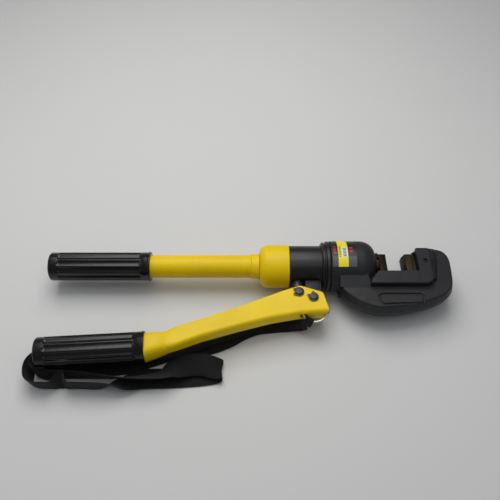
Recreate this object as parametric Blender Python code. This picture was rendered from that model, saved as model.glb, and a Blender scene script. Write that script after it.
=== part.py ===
"""Hand hydraulic bar cutter with an open C-head, a pump lever and a carrying strap.

Metres, +Z up. The tool lies on its side on a surface at Z = 0. Its main axis runs along +X towards
the head, the mouth of the jaw opens towards +Y and the pump lever lies on the -Y side. Sizes below
are given in the tool's own frame, whose X = 0 is at mid-length and whose Y = 0 is the main axis. An
empty shifts that frame so that the world origin is at the centre of the footprint.
"""

import math

import bmesh
import bpy
from mathutils import Matrix, Vector
from mathutils.geometry import interpolate_bezier

# Frame
AXIS_Z = 0.0310                    # height of the main axis, the radius of the head barrel
STRAP_END_X = -0.2550
STRAP_SIDE_Y = -0.1510
HEAD_END_X = 0.2465
GAP = 0.0003                       # left between pieces that touch
PIECE_STEPS = 32                   # facets round a large turned piece
SEAL_STEPS = 24                    # facets round an inner ring
SMALL_STEPS = 16                   # facets round a pin or a screw
WELD_DISTANCE = 0.000005           # joins the split corners that a Boolean leaves

# Grips
GRIP_R = 0.0173
GRIP_BORE_R = 0.0142
GRIP_LIP_R = 0.0180
GRIP_END_CORNER = 0.0022           # rounding of the closed end
GRIP_END_WALL = 0.0120
GRIP_FLUTES = 13
FLUTE_DEPTH = 0.0012
FLUTE_START = 0.0130               # from the mouth
FLUTE_LENGTH = 0.0975
MAIN_GRIP_X = -0.1210              # mouth of the main grip
MAIN_GRIP_LENGTH = 0.1233
LEVER_GRIP_PLACE = (-0.1169, -0.1110)
LEVER_GRIP_LENGTH = 0.1210
LEVER_GRIP_TILT = math.radians(3.47)

# Handle tube and cup
TUBE_R = 0.0139
TUBE_BORE_R = 0.0114
TUBE_FRONT_X = 0.0200
NECK_X = 0.0026
NECK_R = 0.0156
CUP_X = 0.0124
CUP_MOUTH_X = 0.0483
CUP_R = 0.0265
CUP_SHOULDER_R = 0.0100
CUP_BORE_R = 0.0228

# Cylinder
CYLINDER_REAR_X = 0.0310
CYLINDER_X = 0.0486
CYLINDER_R = 0.0253
SPIGOT_R = 0.0246
SPIGOT_FRONT_X = 0.1342
BORE_REAR_X = 0.0720
BORE_R = 0.01905
COLLAR_X = 0.0873
COLLAR_R = 0.03085
COLLAR_WIDTH = 0.0099
SNAP_X = 0.1033                    # snap ring that keeps the head on
SNAP_WIDTH = 0.0020
SWIVEL_SEAL_X = 0.1142

# Pump: the plunger works along Y, the lever turns on the fulcrum pin
FULCRUM = (0.0751, -0.0506)
PLUNGER_PIN = (0.0585, -0.0434)
PLUNGER_X = 0.0579
PLUNGER_R = 0.0040
PLUNGER_BORE_R = 0.0043
PIN_WANDER = 0.0013                # travel of the pin's arc along X, each way
PIN_R = 0.0045
PIN_HOLE_R = 0.0048
PIN_HALF = 0.0122
CLIP_GROOVE_Z = 0.0094
CLIP_GROOVE_WIDTH = 0.0014
CLIP_THICKNESS = 0.0009
LUG_HALF = 0.0065
LUG_EYE_R = 0.0083
PORT_Y = -0.0100                   # suction and discharge valves lie off the axis
RELEASE_X = 0.0620
RELEASE_SEAT_Z = -0.0130
CLIP_R = 0.0061
CLIP_EAR = 0.0016                  # the ears stand out this much
CLIP_EAR_DEG = 34
CLIP_HOLE_AT = 0.0063

# Head
SEAM_X = 0.0975
BARREL_R = 0.0310
BARREL_BORE_R = 0.0249
BARREL_STEP_X = 0.1369
SHOULDER_X = 0.1345
NOSE_X = 0.1526
NOSE_R = 0.0162
GUIDE_BORE_R = 0.0173
FLANGE_HALF = 0.0115
RIB_HALF = 0.0200
ROOT_LOW = (-0.0385, 0.0118)       # y and height of the root's lower edge
ROOT_LOW_X = (0.1074, 0.1452)
ROOT_HIGH = (-0.0225, 0.0193)      # and of its upper edge, on the barrel
ROOT_HIGH_X = (0.1082, 0.1405)
DRAFT = 0.0020                     # the forging is this much wider at its parting line
MOUTH_FLOOR_Y = -0.0200
MOUTH_REAR_X = 0.1527
MOUTH_FRONT_X = 0.2028
ARM_TOP_Y = 0.0145
SHANK_R = 0.0050
SHANK_HOLE_R = 0.0053

# Blades and ram
BLADE_HALF = 0.0115
BLADE_EDGE_HALF = 0.0030
BLADE_TOP_Y = 0.0106
MOVING_BLADE_X = (0.1582, 0.1692)
FIXED_BLADE_X = (0.1870, 0.1987)
RAM_R = 0.0140
PISTON_R = 0.0187
PISTON_X = 0.0724
PISTON_FRONT_X = 0.0860
RAM_FRONT_X = 0.1579
RAM_NOSE_X = 0.1530                 # the ram ends in a wider nose that carries the blade
RAM_NOSE_R = 0.0165
RAM_SOCKET_X = 0.1450
RAM_GRUB_X = 0.1555
SPRING_WIRE_R = 0.0012
SPRING_R = 0.0164
SPRING_TURNS = 5.5

# Lever channel
CHANNEL_HALF = 0.0090
SHEET = 0.0020

# Carrying ring and strap
RING_WIRE_R = 0.0015
RING_R = 0.0160
RING_CENTRE = (0.0768, -0.0612)
RING_BAR_Y = -0.0630
RING_TILT = math.radians(33.0)
RING_HINGE_Y = -0.0690
WEBBING_WIDTH = 0.0250
WEBBING_PAIR = 0.0044              # two layers of webbing
BUNDLE_HEIGHT = 0.0127


# ---------------------------------------------------------------- scene and materials

def clear_scene():
    for obj in list(bpy.data.objects):
        bpy.data.objects.remove(obj)


def make_material(name, colour, roughness, metallic=0.0):
    material = bpy.data.materials.new(name)
    material.use_nodes = True
    shader = material.node_tree.nodes["Principled BSDF"]
    shader.inputs["Base Color"].default_value = (*colour, 1.0)
    shader.inputs["Roughness"].default_value = roughness
    shader.inputs["Metallic"].default_value = metallic
    material.diffuse_color = (*colour, 1.0)
    return material


def make_materials():
    return {
        "yellow_paint": make_material("yellow_paint", (0.72, 0.50, 0.02), 0.38),
        "grip_plastic": make_material("grip_plastic", (0.012, 0.012, 0.014), 0.28),
        "black_oxide": make_material("black_oxide", (0.020, 0.020, 0.023), 0.36, 0.6),
        "forged_black": make_material("forged_black", (0.028, 0.029, 0.033), 0.55, 0.3),
        "blade_steel": make_material("blade_steel", (0.045, 0.042, 0.042), 0.42, 0.8),
        "pin_steel": make_material("pin_steel", (0.050, 0.055, 0.065), 0.38, 0.9),
        "lug_steel": make_material("lug_steel", (0.16, 0.17, 0.20), 0.45, 0.8),
        "bright_steel": make_material("bright_steel", (0.70, 0.70, 0.68), 0.16, 1.0),
        "spring_steel": make_material("spring_steel", (0.30, 0.30, 0.30), 0.35, 1.0),
        "bronze": make_material("bronze", (0.52, 0.33, 0.13), 0.40, 1.0),
        "seal_rubber": make_material("seal_rubber", (0.015, 0.015, 0.015), 0.60),
        "webbing": make_material("webbing", (0.013, 0.013, 0.015), 0.90),
    }


# ---------------------------------------------------------------- building blocks

def add_object(name, mesh, material=None, parent=None, place=(0, 0, 0), turn=(0, 0, 0)):
    """Link a mesh or a curve to the scene as one named object."""
    obj = bpy.data.objects.new(name, mesh)
    bpy.context.scene.collection.objects.link(obj)
    obj.parent = parent
    obj.location = place
    obj.rotation_euler = turn
    if material is not None:
        mesh.materials.append(material)
    return obj


def add_empty(name, place, parent=None):
    return add_object(name, None, None, parent, place)


def mesh_from(bm, name, smooth_angle=math.radians(35)):
    """Turn a bmesh into mesh data with its faces pointing out and its round faces smooth."""
    bmesh.ops.recalc_face_normals(bm, faces=bm.faces)
    mesh = bpy.data.meshes.new(name)
    bm.to_mesh(mesh)
    bm.free()
    mesh.shade_smooth()
    mesh.set_sharp_from_angle(angle=smooth_angle)
    return mesh


def turned_mesh(name, profile, steps=PIECE_STEPS, shape=None):
    """Spin a profile of (x, radius) points about X.

    A profile that starts and ends on the axis gives a solid, any other one is closed into a ring.
    The optional shape function moves each vertex after the spin.
    """
    bm = bmesh.new()
    verts = [bm.verts.new((x, 0, radius)) for x, radius in profile]
    edges = [bm.edges.new(pair) for pair in zip(verts, verts[1:])]
    if profile[0][1] > 0:
        edges.append(bm.edges.new((verts[-1], verts[0])))
    bmesh.ops.spin(bm, geom=verts + edges, cent=(0, 0, 0), axis=(1, 0, 0), angle=math.tau,
                   steps=steps, use_merge=True)
    bmesh.ops.remove_doubles(bm, verts=bm.verts, dist=1e-6)
    if shape is not None:
        for vert in bm.verts:
            vert.co = shape(vert.co)
    return mesh_from(bm, name)


AXIS_TURNS = {
    "X": (0, 0, 0),
    "-X": (0, 0, math.pi),
    "Y": (0, 0, math.pi / 2),
    "-Y": (0, 0, -math.pi / 2),
    "Z": (0, -math.pi / 2, 0),
    "-Z": (0, math.pi / 2, 0),
}


def turned(name, profile, material, parent, place=(0, 0, 0), axis="X", steps=PIECE_STEPS):
    """A turned piece whose profile runs along the named axis from place."""
    mesh = turned_mesh(name, profile, steps)
    return add_object(name, mesh, material, parent, place, AXIS_TURNS[axis])


def rod_profile(start, end, radius, chamfer=0.0004):
    return [(start, 0), (start, radius - chamfer), (start + chamfer, radius),
            (end - chamfer, radius), (end, radius - chamfer), (end, 0)]


def ring_profile(start, end, inner, outer, chamfer=0.0003):
    return [(start, inner), (start, outer - chamfer), (start + chamfer, outer),
            (end - chamfer, outer), (end, outer - chamfer), (end, inner)]


def arc(centre, radius, start_deg, end_deg, steps):
    """Points of an arc, both ends included."""
    points = []
    for i in range(steps + 1):
        angle = math.radians(start_deg + (end_deg - start_deg) * i / steps)
        points.append((centre[0] + radius * math.cos(angle), centre[1] + radius * math.sin(angle)))
    return points


def rounded(corners, steps=4):
    """An outline from corners (x, y, radius), each rounded with an arc."""
    outline = []
    for i, (x, y, radius) in enumerate(corners):
        corner = Vector((x, y))
        if radius == 0:
            outline.append((x, y))
            continue
        before = (Vector(corners[i - 1][:2]) - corner).normalized()
        after = (Vector(corners[(i + 1) % len(corners)][:2]) - corner).normalized()
        half_angle = before.angle(after) / 2
        start = corner + before * (radius / math.tan(half_angle))
        end = corner + after * (radius / math.tan(half_angle))
        centre = corner + (before + after).normalized() * (radius / math.sin(half_angle))
        for k in range(steps + 1):
            chord = start.lerp(end, k / steps) - centre
            outline.append(tuple(centre + chord.normalized() * radius))
    return outline


def bezier_run(knots, steps):
    """Points along joined curves; each knot is (point, handle before, handle after)."""
    points = []
    for (start, _, leave), (end, arrive, _) in zip(knots, knots[1:]):
        run = interpolate_bezier(Vector(start), Vector(leave), Vector(arrive), Vector(end), steps + 1)
        points.extend(tuple(point[:2]) for point in run[:-1])
    points.append(knots[-1][0])
    return points


def plate_mesh(name, outline, low, high, bevel=0.0, bevel_steps=1):
    """Extrude a closed XY outline from z = low to z = high, with bevelled rims."""
    bm = bmesh.new()
    face = bm.faces.new([bm.verts.new((x, y, low)) for x, y in outline])
    made = bmesh.ops.extrude_face_region(bm, geom=[face])
    top_verts = [item for item in made["geom"] if isinstance(item, bmesh.types.BMVert)]
    bmesh.ops.translate(bm, verts=top_verts, vec=(0, 0, high - low))
    if bevel:
        rims = [edge for edge in bm.edges
                if abs(edge.verts[0].co.z - edge.verts[1].co.z) < 1e-7]
        bmesh.ops.bevel(bm, geom=rims, offset=bevel, segments=bevel_steps, profile=0.5,
                        affect="EDGES", clamp_overlap=True)
    return mesh_from(bm, name)


def hull_mesh(name, points):
    """The smallest convex solid round the points."""
    bm = bmesh.new()
    for point in points:
        bm.verts.new(point)
    bmesh.ops.convex_hull(bm, input=bm.verts)
    return mesh_from(bm, name)


def forged_mesh(name, outline, half, draft, bevel):
    """A plate that is widest at its parting line, z = 0, and draws in by draft to each face."""
    bm = bmesh.new()
    count = len(outline)
    layers = []
    for z, inset in ((-half, draft + bevel), (bevel - half, draft), (0, 0), (half - bevel, draft),
                     (half, draft + bevel)):
        ring = []
        for i, point in enumerate(outline):
            before = Vector(outline[i - 1])
            after = Vector(outline[(i + 1) % count])
            along = (after - before).normalized()
            outward = Vector((along.y, -along.x))
            inner = Vector(point) - outward * inset
            ring.append(bm.verts.new((inner.x, inner.y, z)))
        layers.append(ring)
    for lower, upper in zip(layers, layers[1:]):
        for i in range(count):
            k = (i + 1) % count
            bm.faces.new((lower[i], lower[k], upper[k], upper[i]))
    bm.faces.new(reversed(layers[0]))
    bm.faces.new(layers[-1])
    return mesh_from(bm, name)


def plate(name, outline, low, high, material, parent, place=(0, 0, 0), bevel=0.0):
    return add_object(name, plate_mesh(name, outline, low, high, bevel), material, parent, place)


def box_outline(low, high):
    return [(low[0], low[1]), (high[0], low[1]), (high[0], high[1]), (low[0], high[1])]


def as_guide(obj):
    """A cutter or a joined shape: seen as wire, and not a piece of the tool."""
    obj.hide_render = True
    obj.display_type = "WIRE"
    return obj


def combine(obj, other, operation):
    modifier = obj.modifiers.new(other.name, "BOOLEAN")
    modifier.operation = operation
    modifier.solver = "EXACT"
    modifier.object = as_guide(other)
    weld = obj.modifiers.new("weld_" + other.name, "WELD")
    weld.merge_threshold = WELD_DISTANCE


def cut_hole(obj, name, place, axis, start, end, radius, parent, steps=SMALL_STEPS):
    """Bore a round hole along an axis, from start to end past place."""
    profile = [(start, 0), (start, radius), (end, radius), (end, 0)]
    cutter = turned("cut_" + name, profile, None, parent, place, axis, steps)
    combine(obj, cutter, "DIFFERENCE")


def sweep_mesh(name, frames, half_width, half_thickness):
    """A flat band through frames of (centre, width direction, thickness direction)."""
    bm = bmesh.new()
    rows = []
    for centre, across, up in frames:
        corners = [(-1, -1), (1, -1), (1, 1), (-1, 1)]
        rows.append([bm.verts.new(Vector(centre) + Vector(across) * half_width * u
                                  + Vector(up) * half_thickness * v) for u, v in corners])
    for row, following in zip(rows, rows[1:]):
        for k in range(4):
            bm.faces.new((row[k], row[(k + 1) % 4], following[(k + 1) % 4], following[k]))
    bm.faces.new(rows[0])
    bm.faces.new(reversed(rows[-1]))
    return mesh_from(bm, name)


# ---------------------------------------------------------------- grips, tube and cup

def grip_mesh(name, length):
    """A moulded sleeve: mouth at x = 0, closed end at x = -length, flutes between plain bands."""
    end_r = GRIP_R - GRIP_END_CORNER
    flute_stations = [-FLUTE_START, -FLUTE_START - 0.0015,
                      -FLUTE_START - FLUTE_LENGTH + 0.0015, -FLUTE_START - FLUTE_LENGTH]
    profile = [(-length, 0), (-length, end_r)]
    profile += [(-length + GRIP_END_CORNER + x, y)
                for x, y in arc((0, end_r), GRIP_END_CORNER, 157.5, 90, 3)]
    profile += [(x, GRIP_R) for x in reversed(flute_stations)]
    profile += [(-0.0022, GRIP_R), (-0.0012, GRIP_LIP_R), (0, GRIP_LIP_R),
                (0, GRIP_BORE_R), (-length + GRIP_END_WALL, GRIP_BORE_R), (-length + GRIP_END_WALL, 0)]
    steps = GRIP_FLUTES * 4
    flute_range = (flute_stations[2] - 1e-5, flute_stations[1] + 1e-5)

    def flute(point):
        radius = math.hypot(point.y, point.z)
        index = round(math.atan2(point.y, point.z) / math.tau * steps)
        in_flute = index % 4 in (1, 2) and flute_range[0] < point.x < flute_range[1]
        if not in_flute or radius < GRIP_BORE_R + 0.0005:
            return point
        scale = (radius - FLUTE_DEPTH) / radius
        return Vector((point.x, point.y * scale, point.z * scale))

    return turned_mesh(name, profile, steps, flute)


def build_handle(body, mats):
    grip = grip_mesh("main_grip", MAIN_GRIP_LENGTH)
    add_object("main_grip", grip, mats["grip_plastic"], body, (MAIN_GRIP_X, 0, 0))

    tube_rear = MAIN_GRIP_X - MAIN_GRIP_LENGTH + GRIP_END_WALL + GAP
    turned("handle_tube", ring_profile(tube_rear, TUBE_FRONT_X, TUBE_BORE_R, TUBE_R),
           mats["yellow_paint"], body)
    turned("neck_ring", ring_profile(NECK_X, CUP_X - GAP, TUBE_R + GAP, NECK_R, 0.0006),
           mats["yellow_paint"], body)

    back = tube_rear + 0.0010
    key_r = 0.0030
    plug = [(back + 0.0040, 0), (back + 0.0040, key_r), (back, key_r), (back, TUBE_BORE_R - GAP),
            (back + 0.0090, TUBE_BORE_R - GAP), (back + 0.0090, 0)]
    turned("tube_end_plug", plug, mats["pin_steel"], body, steps=SMALL_STEPS)


def build_bladder(body, mats):
    """A rubber bag in the handle tube; its flange seats on the tube's front end."""
    outer = 0.0108
    wall = 0.0016
    rear = -0.1700
    flange_r = 0.0136
    flange_front = TUBE_FRONT_X + 0.0030
    profile = [(rear, 0), (rear, outer - 0.003), (rear + 0.001, outer - 0.001),
               (rear + 0.003, outer), (TUBE_FRONT_X + GAP, outer),
               (TUBE_FRONT_X + GAP, flange_r), (flange_front, flange_r),
               (flange_front, outer - wall), (rear + 0.003, outer - wall),
               (rear + 0.0018, outer - 0.004), (rear + 0.0018, 0)]
    turned("oil_bladder", profile, mats["seal_rubber"], body, steps=SMALL_STEPS)


def build_cup(body, mats):
    shoulder = [(CUP_X + CUP_SHOULDER_R + x, CUP_R - CUP_SHOULDER_R + r)
                for x, r in arc((0, 0), CUP_SHOULDER_R, 180, 90, 6)]
    profile = [(CUP_X, TUBE_R + GAP)] + shoulder
    profile += [(CUP_MOUTH_X - 0.0006, CUP_R), (CUP_MOUTH_X, CUP_R - 0.0006),
                (CUP_MOUTH_X, CUP_BORE_R), (0.0245, CUP_BORE_R), (0.0185, 0.0160),
                (0.0175, TUBE_R + GAP)]
    turned("reservoir_cup", profile, mats["yellow_paint"], body)
    seal_x = 0.0440
    turned("cup_seal", ring_profile(seal_x, seal_x + 0.0020, 0.0208, CUP_BORE_R - 0.0001, 0.0005),
           mats["seal_rubber"], body, steps=SEAL_STEPS)


# ---------------------------------------------------------------- cylinder and collar

def build_cylinder(body, mats):
    seal_groove = [(0.0437, CUP_BORE_R - 0.0005), (0.0437, 0.0205), (0.0463, 0.0205),
                   (0.0463, CUP_BORE_R - 0.0005)]
    snap_groove = [(SNAP_X - GAP, SPIGOT_R), (SNAP_X - GAP, 0.0234),
                   (SNAP_X + SNAP_WIDTH + GAP, 0.0234), (SNAP_X + SNAP_WIDTH + GAP, SPIGOT_R)]
    swivel_groove = [(SWIVEL_SEAL_X - GAP, SPIGOT_R), (SWIVEL_SEAL_X - GAP, 0.0230),
                     (SWIVEL_SEAL_X + 0.0027, 0.0230), (SWIVEL_SEAL_X + 0.0027, SPIGOT_R)]
    rear_r = CUP_BORE_R - 0.0005
    profile = [(CYLINDER_REAR_X, 0), (CYLINDER_REAR_X, rear_r - 0.001),
               (CYLINDER_REAR_X + 0.001, rear_r)]
    profile += seal_groove
    profile += [(CYLINDER_X, rear_r), (CYLINDER_X, CYLINDER_R - 0.0004),
                (CYLINDER_X + 0.0004, CYLINDER_R), (SEAM_X - 0.0003, CYLINDER_R),
                (SEAM_X - 0.0003, SPIGOT_R)]
    profile += snap_groove + swivel_groove
    profile += [(SPIGOT_FRONT_X - 0.0006, SPIGOT_R), (SPIGOT_FRONT_X, SPIGOT_R - 0.0006),
                (SPIGOT_FRONT_X, BORE_R), (BORE_REAR_X, BORE_R), (BORE_REAR_X, 0)]
    cylinder = turned("cylinder_body", profile, mats["black_oxide"], body)

    cut_hole(cylinder, "plunger_bore", (PLUNGER_X, 0, 0), "-Y", 0.0060, 0.0300, PLUNGER_BORE_R, body)
    cut_hole(cylinder, "gland_bore", (PLUNGER_X, 0, 0), "-Y", 0.0172, 0.0300, 0.0065, body)
    cut_hole(cylinder, "suction_port", (0, PORT_Y, 0), "X", 0.0300, 0.0480, 0.0034, body)
    cut_hole(cylinder, "suction_way", (0, PORT_Y, 0), "X", 0.0470, PLUNGER_X, 0.0014, body)
    cut_hole(cylinder, "discharge_port", (0, PORT_Y, 0), "X", 0.0648, 0.0730, 0.0034, body)
    cut_hole(cylinder, "discharge_way", (0, PORT_Y, 0), "X", PLUNGER_X, 0.0660, 0.0012, body)
    cut_hole(cylinder, "overload_port", (PLUNGER_X, 0, 0), "Y", 0.0120, 0.0300, 0.0043, body)
    cut_hole(cylinder, "release_bore", (RELEASE_X, 0, 0), "-Z", 0.0110, 0.0300, 0.0033, body)
    cut_hole(cylinder, "release_seat", (RELEASE_X, 0, 0), "-Z", 0.0235, 0.0300, 0.0095, body)


def build_collar(body, mats):
    """The swivel collar: two smooth bands with a groove between them."""
    middle = COLLAR_X + COLLAR_WIDTH / 2
    edge = 0.0008
    groove = 0.0022
    profile = [(COLLAR_X, CYLINDER_R + GAP), (COLLAR_X, COLLAR_R - 0.0030),
               (COLLAR_X + edge, COLLAR_R - 0.0018), (middle - 0.0022, COLLAR_R - 0.0012),
               (middle - 0.0008, COLLAR_R - groove), (middle + 0.0002, COLLAR_R - groove),
               (middle + 0.0012, COLLAR_R), (COLLAR_X + COLLAR_WIDTH - edge, COLLAR_R),
               (COLLAR_X + COLLAR_WIDTH, COLLAR_R - edge),
               (COLLAR_X + COLLAR_WIDTH, CYLINDER_R + GAP)]
    turned("swivel_collar", profile, mats["black_oxide"], body)
    turned("swivel_snap_ring", ring_profile(SNAP_X, SNAP_X + SNAP_WIDTH, 0.0237, 0.0259, 0.0002),
           mats["spring_steel"], body, steps=SEAL_STEPS)
    turned("swivel_seal", ring_profile(SWIVEL_SEAL_X, SWIVEL_SEAL_X + 0.0024, 0.0233,
                                       SPIGOT_R + 0.0001, 0.0006),
           mats["seal_rubber"], body, steps=SEAL_STEPS)


# ---------------------------------------------------------------- pump

def build_valves(body, mats):
    """Suction and discharge balls with their springs and seat, the screen and the overload screw."""
    turned("suction_screen", ring_profile(0.0312, 0.0330, 0.0006, 0.0031, 0.0002),
           mats["bronze"], body, (0, PORT_Y, 0), steps=16)
    turned("suction_seat", ring_profile(0.0333, 0.0370, 0.0013, 0.0031, 0.0003),
           mats["pin_steel"], body, (0, PORT_Y, 0), steps=16)
    ball_r = 0.0026
    for name, x in (("suction_ball", 0.0400), ("discharge_ball", 0.0678)):
        ball = [(x + px, pr) for px, pr in arc((0, 0), ball_r, 180, 0, 6)]
        ball[0] = (x - ball_r, 0)
        ball[-1] = (x + ball_r, 0)
        turned(name, ball, mats["bright_steel"], body, (0, PORT_Y, 0), steps=12)
    for name, start, end in (("suction_spring", 0.0431, 0.0475),
                             ("discharge_spring", 0.0708, 0.0719)):
        turned(name, ring_profile(start, end, 0.0018, 0.0028, 0.0002), mats["spring_steel"], body,
               (0, PORT_Y, 0), steps=12)
    overload = [(0.0125, 0), (0.0125, 0.0037), (0.0130, 0.0040), (0.0240, 0.0040),
                (0.0240, 0.0020), (0.0215, 0.0020), (0.0215, 0)]
    turned("overload_valve_screw", overload, mats["pin_steel"], body, (PLUNGER_X, 0, 0), "Y", 16)


def build_plunger(body, plunger, mats):
    """The plunger with its eye on the lever's pin, and the gland nut and seal in the cylinder."""
    seal = ring_profile(0.0174, 0.0190, PLUNGER_BORE_R, 0.0062, 0.0003)
    turned("plunger_seal", seal, mats["seal_rubber"], body, (PLUNGER_X, 0, 0), "-Y", SMALL_STEPS)

    gland_face = 0.0258
    gland = [(0.0193, PLUNGER_BORE_R), (0.0193, 0.0062), (gland_face, 0.0062),
             (gland_face, 0.0067), (0.0336, 0.0067), (0.0340, 0.0062), (0.0340, PLUNGER_BORE_R)]
    turned("plunger_gland", gland, mats["pin_steel"], body, (PLUNGER_X, 0, 0), "-Y", SMALL_STEPS)

    # The head is a flat eye. Its hole is long in X because the pin moves on an arc.
    head_half = 0.0063
    eye = rounded([(-0.0080, -0.0062, 0.0045), (0.0080, -0.0062, 0.0045),
                   (0.0080, 0.0058, 0.0020), (-0.0080, 0.0058, 0.0020)], 3)
    head = plate("pump_plunger", eye, -head_half, head_half, mats["bright_steel"], plunger,
                 (0, 0, 0), 0.0004)
    rod = turned("guide_plunger_rod", rod_profile(-0.0268, -0.0050, PLUNGER_R), None, plunger,
                 (0, 0, 0), "-Y", SMALL_STEPS)
    combine(head, rod, "UNION")
    slot_outline = arc((PIN_WANDER, 0), PIN_HOLE_R, -90, 90, 8)
    slot_outline += arc((-PIN_WANDER, 0), PIN_HOLE_R, 90, 270, 8)
    slot = add_object("cut_plunger_slot", plate_mesh("cut_plunger_slot", slot_outline, -0.02, 0.02),
                      None, plunger)
    combine(head, slot, "DIFFERENCE")


def build_lug(body, mats):
    """The lug under the cylinder that carries the fulcrum pin between the lever's cheeks."""
    x, y = FULCRUM
    eye = arc((x, y), LUG_EYE_R, 190, 345, 10)
    outline = [(0.0672, -0.0200)] + eye + [(0.0860, -0.0340), (0.0860, -0.0200)]
    lug = plate("pump_lug", outline, -LUG_HALF, LUG_HALF, mats["lug_steel"], body)
    cylinder = turned("cut_lug_saddle", rod_profile(0.03, 0.12, CYLINDER_R + GAP), None, body)
    combine(lug, cylinder, "DIFFERENCE")
    cut_hole(lug, "lug_eye", (x, y, 0), "Z", -0.02, 0.02, PIN_HOLE_R, body)


def build_release(knob, mats):
    """Release knob under the cylinder: a knurled disc on a short valve stem."""
    stem = [(-0.0006, 0), (0.0004, 0.0010), (0.0022, 0.0030), (0.0105, 0.0030),
            (0.0105, 0.0080), (0.0109, 0.0084), (0.0153, 0.0084), (0.0157, 0.0080), (0.0157, 0)]

    def knurl(point):
        radius = math.hypot(point.y, point.z)
        index = round(math.atan2(point.y, point.z) / math.tau * 36)
        if radius < 0.0078 or index % 2:
            return point
        scale = (radius - 0.0005) / radius
        return Vector((point.x, point.y * scale, point.z * scale))

    mesh = turned_mesh("release_knob", stem, 36, knurl)
    add_object("release_knob", mesh, mats["pin_steel"], knob, (0, 0, 0), AXIS_TURNS["-Z"])


# ---------------------------------------------------------------- head

def build_head(head, mats):
    # The parting line of the C: heel, spine, front and the round end of the arm.
    end = HEAD_END_X
    spine = bezier_run([
        ((0.1085, -0.0405), None, (0.1180, -0.0535)),
        ((0.1560, -0.0675), (0.1370, -0.0675), (0.1800, -0.0675)),
        ((0.2250, -0.0528), (0.2110, -0.0595), (0.2345, -0.0482)),
        ((0.2443, -0.0300), (0.2425, -0.0410), (0.2455, -0.0210)),
        ((end, -0.0010), (end, -0.0100), (end, 0.0120)),
        ((0.2290, 0.0205), (0.2400, 0.0198), None),
    ], 5)
    flange_outline = [(0.1060, -0.0150)] + spine + [(0.2200, ARM_TOP_Y), (0.1980, ARM_TOP_Y - 0.002),
                                                    (0.1980, -0.0150)]
    frame_mesh = forged_mesh("head_frame", flange_outline, FLANGE_HALF, DRAFT, 0.0016)
    frame = add_object("head_frame", frame_mesh, mats["forged_black"], head)

    rib_outline = rounded([(0.1560, -0.0150, 0), (0.1415, -0.0375, 0.0020),
                           (0.2190, -0.0375, 0.0110), (0.2190, ARM_TOP_Y, 0.0016),
                           (0.2005, ARM_TOP_Y, 0.0016), (0.1990, -0.0150, 0)])
    rib = add_object("guide_rib", plate_mesh("guide_rib", rib_outline, -RIB_HALF, RIB_HALF, 0.0012),
                     None, head)
    combine(frame, rib, "UNION")

    # The root of the C: a block that slopes from the barrel's side down to the flange.
    root_corners = []
    for side in (-1, 1):
        root_corners += [(x, ROOT_LOW[0], side * ROOT_LOW[1]) for x in ROOT_LOW_X]
        root_corners += [(x, ROOT_HIGH[0], side * ROOT_HIGH[1]) for x in ROOT_HIGH_X]
        root_corners += [(x, 0, side * ROOT_LOW[1]) for x in ROOT_LOW_X]
    combine(frame, add_object("guide_root", hull_mesh("guide_root", root_corners), None, head), "UNION")

    shoulder = [(SHOULDER_X + x * (NOSE_X - SHOULDER_X), NOSE_R + r * (BARREL_R - NOSE_R))
                for x, r in arc((0, 0), 1.0, 90, 0, 6)]
    barrel = [(SEAM_X, 0), (SEAM_X, BARREL_R - 0.0006), (SEAM_X + 0.0006, BARREL_R)] + shoulder
    barrel += [(NOSE_X, 0)]
    combine(frame, turned("guide_barrel", barrel, None, head), "UNION")

    bore = [(SEAM_X - 0.002, 0), (SEAM_X - 0.002, BARREL_BORE_R), (SNAP_X - GAP, BARREL_BORE_R),
            (SNAP_X - GAP, 0.0262), (SNAP_X + SNAP_WIDTH + GAP, 0.0262),
            (SNAP_X + SNAP_WIDTH + GAP, BARREL_BORE_R), (BARREL_STEP_X, BARREL_BORE_R),
            (BARREL_STEP_X, GUIDE_BORE_R), (NOSE_X + 0.002, GUIDE_BORE_R), (NOSE_X + 0.002, 0)]
    combine(frame, turned("cut_head_bore", bore, None, head), "DIFFERENCE")

    mouth = rounded([(MOUTH_REAR_X, MOUTH_FLOOR_Y, 0), (MOUTH_FRONT_X, MOUTH_FLOOR_Y, 0.0010),
                     (MOUTH_FRONT_X, 0.0600, 0), (MOUTH_REAR_X, 0.0600, 0)], 2)
    mouth_cutter = add_object("cut_mouth", plate_mesh("cut_mouth", mouth, -0.040, 0.040), None, head)
    combine(frame, mouth_cutter, "DIFFERENCE")
    cut_hole(frame, "shank_hole", (0, 0, 0), "X", MOUTH_FRONT_X - 0.001, 0.2185, SHANK_HOLE_R, head)
    cut_hole(frame, "grub_hole", (0.2121, -0.0050, 0), "Z", 0, 0.030, 0.0028, head, 16)

    # Long recessed panels on both faces of the flange.
    panel = rounded([(0.1520, -0.0470, 0.0055), (0.2040, -0.0470, 0.0055),
                     (0.2025, -0.0590, 0.0058), (0.1530, -0.0610, 0.0062)], 4)
    for side, low in (("upper", FLANGE_HALF - 0.0008), ("lower", -FLANGE_HALF - 0.002)):
        high = low + 0.0028
        cutter = add_object("cut_panel_" + side, plate_mesh("cut_panel", panel, low, high), None, head)
        combine(frame, cutter, "DIFFERENCE")


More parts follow.
